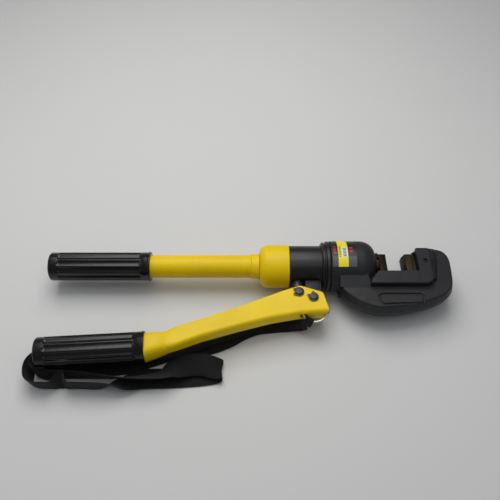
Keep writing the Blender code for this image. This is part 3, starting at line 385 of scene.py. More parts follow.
def rounded(corners, steps=6, closed=True):
    """A line through corners (x, y, radius), each turned into an arc."""
    line = []
    for i, (x, y, radius) in enumerate(corners):
        inner = closed or 0 < i < len(corners) - 1
        if radius == 0 or not inner:
            line.append((x, y))
            continue
        corner = Vector((x, y))
        before = (Vector(corners[i - 1][:2]) - corner).normalized()
        after = (Vector(corners[(i + 1) % len(corners)][:2]) - corner).normalized()
        half_angle = before.angle(after) / 2
        start = corner + before * (radius / math.tan(half_angle))
        end = corner + after * (radius / math.tan(half_angle))
        centre = corner + (before + after).normalized() * (radius / math.sin(half_angle))
        for k in range(steps + 1):
            chord = start.lerp(end, k / steps) - centre
            line.append(tuple(centre + chord.normalized() * radius))
    return line


def plate_mesh(name, outline, low, high, bevel=0.0, bevel_steps=3):
    """Extrude a closed XY outline from z = low to z = high, with rounded rims."""
    bm = bmesh.new()
    face = bm.faces.new([bm.verts.new((x, y, low)) for x, y in outline])
    made = bmesh.ops.extrude_face_region(bm, geom=[face])
    top_verts = [item for item in made["geom"] if isinstance(item, bmesh.types.BMVert)]
    bmesh.ops.translate(bm, verts=top_verts, vec=(0, 0, high - low))
    if bevel:
        rims = [edge for edge in bm.edges
                if abs(edge.verts[0].co.z - edge.verts[1].co.z) < 1e-7]
        bmesh.ops.bevel(bm, geom=rims, offset=bevel, segments=bevel_steps, profile=0.5,
                        affect="EDGES", clamp_overlap=True)
    return mesh_from(bm, name)


def plate(name, outline, low, high, bevel=0.0):
    return linked(name, plate_mesh(name, outline, low, high, bevel))


def bridge(bm, rows, around=True):
    """Faces between each row of vertices and the next; around joins the rows' ends too."""
    for a, b in zip(rows, rows[1:]):
        for k in range(len(a) if around else len(a) - 1):
            after = (k + 1) % len(a)
            bm.faces.new((a[k], a[after], b[after], b[k]))


def woven_tube(bm, rows):
    """Faces round rows of (vertex, u, v), closed at both ends; u and v go into the "weave" UV map."""
    layer = bm.loops.layers.uv.new("weave")
    faces = [rows[0], list(reversed(rows[-1]))]
    around = len(rows[0])
    for a, b in zip(rows, rows[1:]):
        for k in range(around):
            after = (k + 1) % around
            faces.append((a[k], a[after], b[after], b[k]))
    for corners in faces:
        made = bm.faces.new([corner[0] for corner in corners])
        for loop, corner in zip(made.loops, corners):
            loop[layer].uv = corner[1:]


def circle_row(bm, centre, side, radius, sides, up):
    """Vertices of a wire's round section."""
    angles = [k / sides * math.tau for k in range(sides)]
    return [bm.verts.new(centre + (side * math.cos(a) + up * math.sin(a)) * radius) for a in angles]


def offset_point(outline, i, distance):
    """Point i of a closed outline, moved sideways to the left of its direction."""
    along = (Vector(outline[(i + 1) % len(outline)]) - Vector(outline[i - 1])).normalized()
    return Vector(outline[i]) + Vector((-along.y, along.x)) * distance


def modify(obj, name, kind, **settings):
    modifier = obj.modifiers.new(name, kind)
    for key, value in settings.items():
        setattr(modifier, key, value)


def combine(obj, other, operation):
    """A Boolean; the other shape is thrown away once the piece is baked."""
    modify(obj, other.name, "BOOLEAN", operation=operation, solver="EXACT", object=other)


def bake(obj, smooth_angle=38.0):
    """Apply every modifier and drop the shapes that they used."""
    used = [m.object for m in obj.modifiers if m.type == "BOOLEAN"]
    bpy.context.view_layer.update()
    evaluated = obj.evaluated_get(bpy.context.evaluated_depsgraph_get())
    mesh = bpy.data.meshes.new_from_object(evaluated)
    obj.modifiers.clear()
    obj.data = mesh
    for other in used:
        bpy.data.objects.remove(other)
    bm = bmesh.new()
    bm.from_mesh(mesh)
    bmesh.ops.remove_doubles(bm, verts=bm.verts, dist=2e-6)
    bmesh.ops.dissolve_degenerate(bm, edges=bm.edges, dist=2e-6)
    bm.to_mesh(mesh)
    bm.free()
    mesh.shade_smooth()
    mesh.set_sharp_from_angle(angle=math.radians(smooth_angle))
    return obj


def piece(obj, body, slot, replaced=(), material=None):
    """Give a finished piece its place, material and body, and hide the CAD nodes that it stands for."""
    obj.location = ORIGIN
    obj.data.materials.clear()
    obj.data.materials.append(material or MATERIALS[slot])
    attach(obj, body)
    if replaced:
        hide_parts(*replaced)
    return obj


# ---------------------------------------------------------------- grips, tube and cup

def smooth_step(value, low, high):
    share = min(1.0, max(0.0, (value - low) / (high - low)))
    return share * share * (3 - 2 * share)


def grip_mesh(name, length, roll_deg):
    """A moulded sleeve: mouth at x = 0, closed end at x = -length, round-ended flutes between bands."""
    radius, lip_r, bore_r, wall, corner = 0.0173, 0.0180, 0.0142, 0.0120, 0.0022
    flute_from, flute_to, flute_end = -0.0108, 0.0110 - length, 0.0018
    half_flute, depth = 0.0034, 0.0013
    band_r, band_end, stations = radius + 0.0002, -0.0104, 110
    profile = [(-length, 0.0), (-length, radius - corner)]
    profile += [(-length + corner + x, y)
                for x, y in arc((0, radius - corner), corner, 172, 90, 8)]
    profile += [(flute_to - 0.002 + (band_end - flute_to + 0.002) * i / stations, radius)
                for i in range(stations + 1)]
    profile += [(-0.0100, band_r), (-0.0034, band_r), (-0.0026, lip_r - 0.0003),
                (-0.0021, lip_r), (-0.0006, lip_r), (0, lip_r - 0.0006), (0, bore_r),
                (-length + wall, bore_r), (-length + wall, 0)]

    def flute(point):
        r = math.hypot(point.y, point.z)
        if r < bore_r + 0.001 or not flute_to < point.x < flute_from:
            return point
        turn = (math.atan2(point.y, point.z) + math.radians(roll_deg)) / math.tau * GRIP_FLUTES
        side = abs(turn - round(turn)) / GRIP_FLUTES * math.tau * r
        beyond = max(flute_to + flute_end - point.x, point.x - flute_from + flute_end, 0.0)
        distance = math.hypot(side / half_flute, beyond / flute_end)
        drop = depth * max(0.0, 1 - distance * distance) ** 0.8
        return Vector((point.x, point.y * (r - drop) / r, point.z * (r - drop) / r))

    return turned_mesh(name, profile, GRIP_FLUTES * 14, flute)


def build_handle():
    grip = linked("main_grip_sleeve", grip_mesh("main_grip_sleeve", MAIN_GRIP_LENGTH, MAIN_GRIP_ROLL))
    grip.data.transform(Matrix.Translation((MAIN_GRIP_MOUTH_X, 0, 0)))
    piece(grip, "body", "grip_plastic", ["main_grip"])

    mesh = grip_mesh("lever_grip_sleeve", LEVER_GRIP_LENGTH, LEVER_GRIP_ROLL)
    tilt = Matrix.Rotation(LEVER_GRIP_TILT, 4, "Z")
    mesh.transform(Matrix.Translation((*LEVER_GRIP_MOUTH, 0)) @ tilt)
    piece(linked("lever_grip_sleeve", mesh), "lever", "grip_plastic", ["lever_grip"])

    tube = rounded([(-0.2320, 0.0114, 0), (-0.2320, 0.0139, 0.0004), (0.0200, 0.0139, 0.0004),
                    (0.0200, 0.0114, 0)], 3, False)
    piece(turned("handle_tube_painted", tube), "body", "yellow_paint", ["handle_tube"])

    neck = rounded([(0.0022, 0.0142, 0), (0.0026, 0.0149, 0.0003), (0.0031, 0.0156, 0.0007),
                    (0.0121, 0.0156, 0.0005), (0.0121, 0.0142, 0)], 4, False)
    piece(turned("neck_ring_turned", neck), "body", "yellow_paint", ["neck_ring"])

    cup = [(0.0124, 0.0142)] + arc((0.0224, 0.0165), 0.0100, 180, 90, 16)
    cup += rounded([(0.0300, 0.0265, 0), (0.0483, 0.0265, 0.0009), (0.0483, 0.0228, 0)], 5, False)
    cup += [(0.0245, 0.0228), (0.0185, 0.0160), (0.0175, 0.0142)]
    piece(turned("reservoir_cup_turned", cup), "body", "yellow_paint", ["reservoir_cup"])


# ---------------------------------------------------------------- cylinder and collar

def build_cylinder():
    profile = rounded([(0.0310, 0.0, 0), (0.0310, 0.0223, 0.0008), (0.0486, 0.0223, 0),
                       (0.0486, 0.0253, 0.0006), (0.0972, 0.0253, 0.0003), (0.0972, 0.0246, 0),
                       (0.1342, 0.0246, 0.0006), (0.1342, 0.01905, 0), (0.0720, 0.01905, 0),
                       (0.0720, 0.0, 0)], 4, False)
    cylinder = turned("cylinder_body_turned", profile)
    for name, axis, place, start, end, radius in (
            ("gland_bore", "-Y", (PLUNGER_X, 0, 0), 0.0060, 0.0300, 0.0065),
            ("overload_bore", "Y", (PLUNGER_X, 0, 0), 0.0120, 0.0300, 0.0043),
            ("release_bore", "Z", (RELEASE_X, 0, -0.0400), 0.0165, 0.0290, 0.0033),
            ("release_seat", "Z", (RELEASE_X, 0, -0.0400), 0.0100, 0.0165, 0.0095)):
        combine(cylinder, drill("cut_" + name, start, end, radius, place, axis), "DIFFERENCE")
    piece(bake(cylinder), "body", "black_oxide", ["cylinder_body"])

    outer_r, inner_r = 0.03085, 0.0256
    # Two bands with a groove between them: distance from the collar's rear, drop from its rim, corner.
    bands = [(0, 0.0030, 0.0006), (0.0012, 0.0014, 0.0008), (0.0030, 0.0010, 0.0006),
             (0.0036, 0.0024, 0.0005), (0.0050, 0.0024, 0.0005), (0.0056, 0, 0.0007),
             (0.0099, 0, 0.0009), (0.0099, outer_r - inner_r, 0)]
    collar = [(COLLAR_X + x, outer_r - drop, corner) for x, drop, corner in bands]
    collar = rounded([(COLLAR_X, inner_r, 0)] + collar, 4, False)
    piece(turned("swivel_collar_turned", collar), "body", "black_oxide", ["swivel_collar"])


# ---------------------------------------------------------------- head

def bezier_run(knots, steps):
    """Points along joined curves; each knot is (point, handle before, handle after)."""
    points = []
    for (start, _, leave), (end, arrive, _) in zip(knots, knots[1:]):
        for k in range(steps):
            t = k / steps
            parts = ((1 - t) ** 3, 3 * t * (1 - t) ** 2, 3 * t * t * (1 - t), t ** 3)
            points.append(tuple(sum(w * p[i] for w, p in zip(parts, (start, leave, arrive, end)))
                                for i in (0, 1)))
    points.append(knots[-1][0])
    return points


def forged_mesh(name, outline, layers):
    """Stack the outline at (z, inset) layers: the plate is widest at its parting line."""
    bm = bmesh.new()
    rings = [[bm.verts.new((*offset_point(outline, i, inset), z)) for i in range(len(outline))]
             for z, inset in layers]
    bridge(bm, rings)
    bm.faces.new(reversed(rings[0]))
    bm.faces.new(rings[-1])
    return mesh_from(bm, name)


def hull(name, points):
    """The smallest convex solid round the points."""
    bm = bmesh.new()
    for point in points:
        bm.verts.new(point)
    bmesh.ops.convex_hull(bm, input=bm.verts)
    return linked(name, mesh_from(bm, name))


def panel_groove(name, low):
    """A shallow groove that follows a long rounded rectangle."""
    outline = rounded([(0.1520, -0.0474, 0.0052), (0.2048, -0.0474, 0.0052),
                       (0.2035, -0.0598, 0.0054), (0.1528, -0.0616, 0.0056)], 8)
    half, high = 0.0013, low + 0.004
    bm = bmesh.new()
    rings = [[bm.verts.new((*offset_point(outline, i, offset), z)) for i in range(len(outline))]
             for offset, z in ((-half, low), (half, low), (half, high), (-half, high))]
    bridge(bm, rings + rings[:1])
    return linked(name, mesh_from(bm, name))


def build_head():
    spine = bezier_run([
        ((0.1085, -0.0405), None, (0.1180, -0.0535)),
        ((0.1560, -0.0675), (0.1370, -0.0675), (0.1800, -0.0675)),
        ((0.2250, -0.0528), (0.2110, -0.0595), (0.2345, -0.0482)),
        ((0.2443, -0.0300), (0.2425, -0.0410), (0.2455, -0.0210)),
        ((HEAD_END_X, -0.0010), (HEAD_END_X, -0.0100), (HEAD_END_X, 0.0120)),
        ((0.2290, 0.0205), (0.2400, 0.0198), None),
    ], 14)
    outline = [(0.1060, -0.0150)] + spine + [(0.2200, ARM_TOP_Y), (0.1980, ARM_TOP_Y - 0.002),
                                             (0.1980, -0.0150)]
    draft = 0.0020
    edge = [(FLANGE_HALF - below, draft + inset) for below, inset in (
        (0.0022, 0), (0.0010, 0.0004), (0.0003, 0.0011), (0, 0.0022))]
    layers = [(-z, inset) for z, inset in reversed(edge)] + [(0, 0)] + edge
    head = linked("head_forging", forged_mesh("head_forging", outline, layers))

    rib = rounded([(0.1560, -0.0150, 0), (0.1415, -0.0375, 0.0020), (0.2190, -0.0375, 0.0110),
                   (0.2190, ARM_TOP_Y, 0.0025), (0.2005, ARM_TOP_Y, 0.0020), (0.1990, -0.0150, 0)], 8)
    combine(head, plate("rib", rib, -0.0200, 0.0200, 0.0016), "UNION")
    for side in (-1, 1):
        # The root of the C slopes from the barrel's side down to the flange.
        root = [(x, y, side * z) for x, y, z in (
            (0.1074, -0.0385, 0.0118), (0.1452, -0.0385, 0.0118), (0.1452, 0, 0.0118),
            (0.1082, -0.0225, 0.0193), (0.1405, -0.0225, 0.0193), (0.1074, 0, 0.0118))]
        combine(head, hull("root", root), "UNION")
        # The outer side of the arm slopes down to a ledge on the flange.
        slope = [(x, y, side * z) for x, y, z in (
            (0.2120, -0.0330, 0.0185), (0.2120, 0.0135, 0.0185), (0.2192, -0.0300, 0.0180),
            (0.2205, 0.0142, 0.0180), (0.2240, -0.0280, 0.0100), (0.2310, 0.0120, 0.0100),
            (0.2285, 0.0195, 0.0100), (0.2120, -0.0330, 0.0100), (0.2120, 0.0135, 0.0100))]
        combine(head, hull("slope", slope), "UNION")

    shoulder = [(SHOULDER_X + x * (NOSE_X - SHOULDER_X), NOSE_R + r * (BARREL_R - NOSE_R))
                for x, r in arc((0, 0), 1.0, 90, 0, 14)]
    barrel = [(SEAM_X, 0), (SEAM_X, BARREL_R - 0.0008), (SEAM_X + 0.0008, BARREL_R)] + shoulder
    combine(head, turned("barrel", barrel + [(NOSE_X, 0)]), "UNION")

    wide_r, narrow_r, step_x, past = 0.0249, 0.0173, 0.1369, 0.002
    bore = [(SEAM_X - past, 0), (SEAM_X - past, wide_r), (step_x, wide_r), (step_x, narrow_r),
            (NOSE_X + past, narrow_r), (NOSE_X + past, 0)]
    combine(head, turned("bore", bore), "DIFFERENCE")
    mouth = rounded([(0.1527, -0.0200, 0), (0.2028, -0.0200, 0.0020), (0.2028, 0.0600, 0),
                     (0.1527, 0.0600, 0)], 5)
    combine(head, plate("mouth", mouth, -0.040, 0.040), "DIFFERENCE")
    for name, x, y, axis, start, stop, radius in (
            ("shank_hole", 0, 0, "X", 0.2010, 0.2185, 0.0053),
            ("grub_hole", 0.2121, -0.0050, "Z", 0.0, 0.030, 0.0028)):
        combine(head, drill(name, start, stop, radius, (x, y, 0), axis), "DIFFERENCE")
    for low in (FLANGE_HALF - 0.0019, -FLANGE_HALF - 0.0021):
        combine(head, panel_groove("groove", low), "DIFFERENCE")
    # A fine remesh and a light smoothing round the edges as a forging's are.
    modify(head, "remesh", "REMESH", mode="VOXEL", voxel_size=0.0005)
    modify(head, "soften", "SMOOTH", factor=0.5, iterations=3)
    modify(head, "fewer", "DECIMATE", ratio=0.22)
    bake(head, 60.0)
    piece(head, "head", "forged_black", ["head_frame"])


def build_label():
    """A film label wrapped round the barrel's upper side."""
    start_x, width, radius, thickness = 0.0990, 0.0286, BARREL_R + 0.00004, 0.00008
    low_deg, high_deg, columns = -36.0, 70.0, 48
    length = math.radians(high_deg - low_deg) * radius
    bm = bmesh.new()
    rows = []
    for i in range(columns + 1):
        angle = math.radians(low_deg + (high_deg - low_deg) * i / columns)
        rows.append([(bm.verts.new((start_x + u * width, r * math.sin(angle), r * math.cos(angle))),
                      u * width, length * i / columns)
                     for u, r in ((0, radius), (1, radius), (1, radius + thickness),
                                  (0, radius + thickness))])
    woven_tube(bm, rows)
    label = linked("barrel_label", mesh_from(bm, "barrel_label"))
    piece(label, "head", "forged_black", material=label_material())


# ---------------------------------------------------------------- ram and spring

def build_ram():
    piston_r, rod_r, nose_r, socket_r, socket_x = 0.0187, 0.0140, 0.0165, 0.0053, 0.1450
    profile = rounded([(0.0724, 0, 0), (0.0724, piston_r, 0.0006), (0.0860, piston_r, 0.0004),
                       (0.0860, rod_r, 0), (RAM_NOSE_X, rod_r, 0), (RAM_NOSE_X, nose_r, 0.0006),
                       (RAM_FRONT_X, nose_r, 0.0010), (RAM_FRONT_X, socket_r, 0),
                       (socket_x, socket_r, 0), (socket_x, 0, 0)], 4, False)
    ram = turned("piston_ram_ground", profile)
    hole = drill("ram_hole", 0.002, 0.020, 0.0018, (RAM_GRUB_X, 0, 0), "Z", 24)
    combine(ram, hole, "DIFFERENCE")
    piece(bake(ram), "ram", "blade_steel", ["piston_ram"])


def build_spring():
    """The return coil, drawn at one length; the real one shortens towards the guide bush as the ram goes
    out.
    """
    wire_r, coil_r, turns, start, end = 0.0012, 0.0164, 5.5, 0.0875, 0.1327
    per_turn, sides = 30, 10
    count = round(turns * per_turn)
    bm = bmesh.new()
    rings = []
    for i in range(count + 1):
        angle = i / per_turn * math.tau
        centre = Vector((start + (end - start) * i / count, coil_r * math.cos(angle),
                         coil_r * math.sin(angle)))
        radial = Vector((0, math.cos(angle), math.sin(angle)))
        rings.append(circle_row(bm, centre, radial, wire_r, sides, Vector((1, 0, 0))))
    bridge(bm, rings)
    bm.faces.new(rings[0])
    bm.faces.new(reversed(rings[-1]))
    spring = linked("return_spring_coil", mesh_from(bm, "return_spring_coil"))
    piece(spring, "head", "spring_steel", ["ram_return_spring"])
    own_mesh(spring)


# ---------------------------------------------------------------- lever

def along_line(line, x):
    """Y of a line of points at x; the line runs towards +X."""
    for (x0, y0), (x1, y1) in zip(line, line[1:]):
        if x <= x1:
            return y0 + (y1 - y0) * (x - x0) / (x1 - x0)
    return line[-1][1]


def fuller(value, power):
    """Pushes a circle's cosine or sine outwards, for a section between a circle and a box."""
    return math.copysign(abs(value) ** power, value)


def build_lever():
    """A channel pressed from sheet: round bends along the web, rolled into a tube inside the grip."""
    half, bend, sheet, tang_r, gap_deg = 0.0090, 0.0042, 0.0020, 0.0139, 4.0
    mouth_x, mouth_y = LEVER_GRIP_MOUTH
    upper = rounded([(-0.1300, -0.0980, 0), (-0.1163, -0.0972, 0.02), (-0.1003, -0.0956, 0.05),
                     (-0.0787, -0.0884, 0.05), (-0.0379, -0.0735, 0), (-0.0109, -0.0631, 0.05),
                     (0.0421, -0.0406, 0.05), (0.0605, -0.0343, 0.0050), (0.0868, -0.0434, 0.0050),
                     (0.0920, -0.0660, 0)], 6, False)
    lower = rounded([(-0.1300, -0.1322, 0), (-0.0553, -0.1021, 0.10), (-0.0106, -0.0880, 0.10),
                     (0.0247, -0.0780, 0.08), (0.0582, -0.0715, 0.08), (0.0925, -0.0684, 0)], 8, False)
    cheek_steps, bend_steps, web_steps = 7, 6, 4
    stations = [-0.2240 + 0.0103 * i for i in range(10)]
    stations += [-0.1195 + 0.0020 * i for i in range(98)]
    stations += [0.0770 + 0.0006 * i for i in range(24)] + [0.0912, 0.0916, 0.0918]

    def section(x):
        low = along_line(lower, x)
        high = along_line(upper, x)
        r = min(bend, (high - low) * 0.7)
        quarter = arc((low + r, half - r), r, 90, 180, bend_steps)
        cheek = [(high + (low + r - high) * k / cheek_steps, half) for k in range(cheek_steps)]
        web = [(low, half - r - (half - r) * k / web_steps) for k in range(1, web_steps + 1)]
        u_shape = cheek + quarter + web
        u_shape += [(y, -z) for y, z in reversed(u_shape[:-1])]
        centre = mouth_y + (x - mouth_x) * math.tan(LEVER_GRIP_TILT)
        # Behind the cheeks the sheet rolls over into a closed, rounded section, then into a tube.
        count = len(u_shape) - 1
        inside_grip = 1 - smooth_step(x, -0.1215, -0.1165)
        middle = (low + high) / 2 * (1 - inside_grip) + centre * inside_grip
        half_y = (high - low) / 2 * (1 - inside_grip) + tang_r * inside_grip
        half_z = half + (tang_r - half) * (1 - smooth_step(x, -0.1165, -0.0740))
        power = 0.55 + 0.45 * inside_grip
        tube = [(middle + half_y * fuller(math.cos(a), power), half_z * fuller(math.sin(a), power))
                for a in [math.radians(gap_deg + (360 - 2 * gap_deg) * k / count)
                          for k in range(count + 1)]]
        share = 1 - smooth_step(x, -0.1030, -0.0800)
        return [(x, u[0] + (t[0] - u[0]) * share, u[1] + (t[1] - u[1]) * share)
                for u, t in zip(u_shape, tube)]

    bm = bmesh.new()
    bridge(bm, [[bm.verts.new(point) for point in section(x)] for x in stations], around=False)
    mesh = mesh_from(bm, "lever_channel_pressed")
    # Faces have to point out of the channel before the sheet gets its thickness.
    middle = mesh.polygons[len(mesh.polygons) // 2]
    if middle.normal.y > 0:
        mesh.flip_normals()
    lever = linked("lever_channel_pressed", mesh)
    modify(lever, "sheet", "SOLIDIFY", thickness=sheet, offset=-1.0, use_even_offset=True)
    modify(lever, "rims", "BEVEL", width=0.00045, segments=2, limit_method="ANGLE",
           angle_limit=math.radians(60))
    for name, (x, y) in (("fulcrum_hole", FULCRUM), ("plunger_pin_hole", PLUNGER_PIN)):
        combine(lever, drill(name, -0.02, 0.02, PIN_HOLE_R, (x, y, 0), "Z"), "DIFFERENCE")
    # The ring's two sides leave the channel through a slot in the web and a notch at its end.
    low_y, high_y, half_cut = -0.0800, -0.0600, 0.0042
    for name, low_x, high_x in (("slot", 0.0585, 0.0675), ("notch", 0.0875, 0.0950)):
        corners = [(low_x, low_y), (high_x, low_y), (high_x, high_y), (low_x, high_y)]
        combine(lever, plate("cut_" + name, corners, -half_cut, half_cut), "DIFFERENCE")
    bake(lever, 40.0)
    piece(lever, "lever", "yellow_paint", ["lever_channel"])


def clip_outline(steps=72):
    """A retaining ring, open at zero degrees, with an ear on each side of the gap."""
    inner, outer, ear, half_gap, ear_at, ear_span = 0.0041, 0.0061, 0.0016, 15, CLIP_EAR_DEG, 20
    outside, inside = [], []
    for i in range(steps + 1):
        degrees = half_gap + (360 - 2 * half_gap) * i / steps
        from_ear = min(abs(degrees - ear_at), abs(360 - degrees - ear_at))
        rise = ear * math.cos(min(from_ear / ear_span, 1.0) * math.pi / 2)
        angle = math.radians(degrees)
        outside.append(((outer + rise) * math.cos(angle), (outer + rise) * math.sin(angle)))
        inside.append((inner * math.cos(angle), inner * math.sin(angle)))
    return outside + inside[::-1]


def build_pins():
    pin_r, groove_r, half, groove, groove_width = 0.0045, 0.0038, 0.0122, 0.0094, 0.0014
    hole_at, hole_r, clip_thickness = 0.0063, 0.0008, 0.0009
    half_pin = rounded([(groove, pin_r, 0), (groove, groove_r, 0), (groove + groove_width, groove_r, 0),
                        (groove + groove_width, pin_r, 0.0001), (half, pin_r, 0.0006), (half, 0, 0)],
                       4, False)
    profile = [(-z, r) for z, r in reversed(half_pin)] + half_pin
    for name, (x, y), gap_deg in (("fulcrum_pin", FULCRUM, 125), ("plunger_pin", PLUNGER_PIN, 180)):
        pin = turned(name + "_turned", profile, (x, y, 0), "Z", SMALL)
        piece(pin, "lever", "pin_steel", [name])
        for side, z in (("upper", groove + 0.00025), ("lower", -groove - 0.00115)):
            clip = linked("%s_circlip_%s" % (name, side),
                          plate_mesh("circlip", clip_outline(), 0, clip_thickness, 0.00015, 2))
            turn = Matrix.Rotation(math.radians(gap_deg), 4, "Z")
            clip.data.transform(Matrix.Translation((x, y, z)) @ turn)
            for ear_side in (-1, 1):
                angle = math.radians(gap_deg + ear_side * CLIP_EAR_DEG)
                spot = (x + hole_at * math.cos(angle), y + hole_at * math.sin(angle), z)
                hole = drill("ear_hole", -0.001, 0.002, hole_r, spot, "Z", 16)
                combine(clip, hole, "DIFFERENCE")
            bake(clip)
            piece(clip, "lever", "pin_steel", ["%s_clip_%s" % (name, side)])


# ---------------------------------------------------------------- carrying ring and strap

def wire_loop(bm, points, radius, sides):
    """A round wire along a closed line of points in the plane z = 0."""
    rings = []
    for i, point in enumerate(points):
        along = (Vector(points[(i + 1) % len(points)]) - Vector(points[i - 1])).normalized()
        side = Vector((along.y, -along.x, 0))
        rings.append(circle_row(bm, Vector(point), side, radius, sides, Vector((0, 0, 1))))
    bridge(bm, rings + rings[:1])


def ring_matrix():
    """The ring's plane leans about its hinge line."""
    return (Matrix.Translation((0, RING_HINGE_Y, 0)) @ Matrix.Rotation(RING_TILT, 4, "X")
            @ Matrix.Translation((0, -RING_HINGE_Y, 0)))


def build_ring():
    """A D-ring: a round bow, and a straight bar inside the lever's channel."""
    cx, cy = RING_CENTRE
    side_y = RING_BAR_Y + 0.0018
    bar_drop = cy - RING_BAR_Y
    half_bar = math.sqrt(RING_R ** 2 - bar_drop ** 2)
    start_deg = -math.degrees(math.asin(bar_drop / RING_R))
    bow = arc((cx, cy), RING_R, start_deg, -180 - start_deg, 64)
    bar = rounded([(*bow[-1], 0), (cx - half_bar, side_y, 0.0012), (cx + half_bar, side_y, 0.0012),
                   (*bow[0], 0)], 6, False)[1:-1]
    bm = bmesh.new()
    wire_loop(bm, [(x, y, 0) for x, y in bow + bar], RING_WIRE_R, 16)
    ring = linked("strap_ring_wire", mesh_from(bm, "strap_ring_wire"))
    ring.data.transform(ring_matrix())
    piece(ring, "ring", "bright_steel", ["strap_ring"])


def catmull(values, t):
    """Smooth curve through a list of vectors, t from 0 to len - 1."""
    last = len(values) - 1
    i = min(int(t), last - 1)
    f = t - i
    p0, p1, p2, p3 = (values[max(i - 1, 0)], values[i], values[i + 1], values[min(i + 2, last)])
    return 0.5 * ((2 * p1) + (p2 - p0) * f + (2 * p0 - 5 * p1 + 4 * p2 - p3) * f * f
                  + (3 * p1 - p0 - 3 * p2 + p3) * f ** 3)


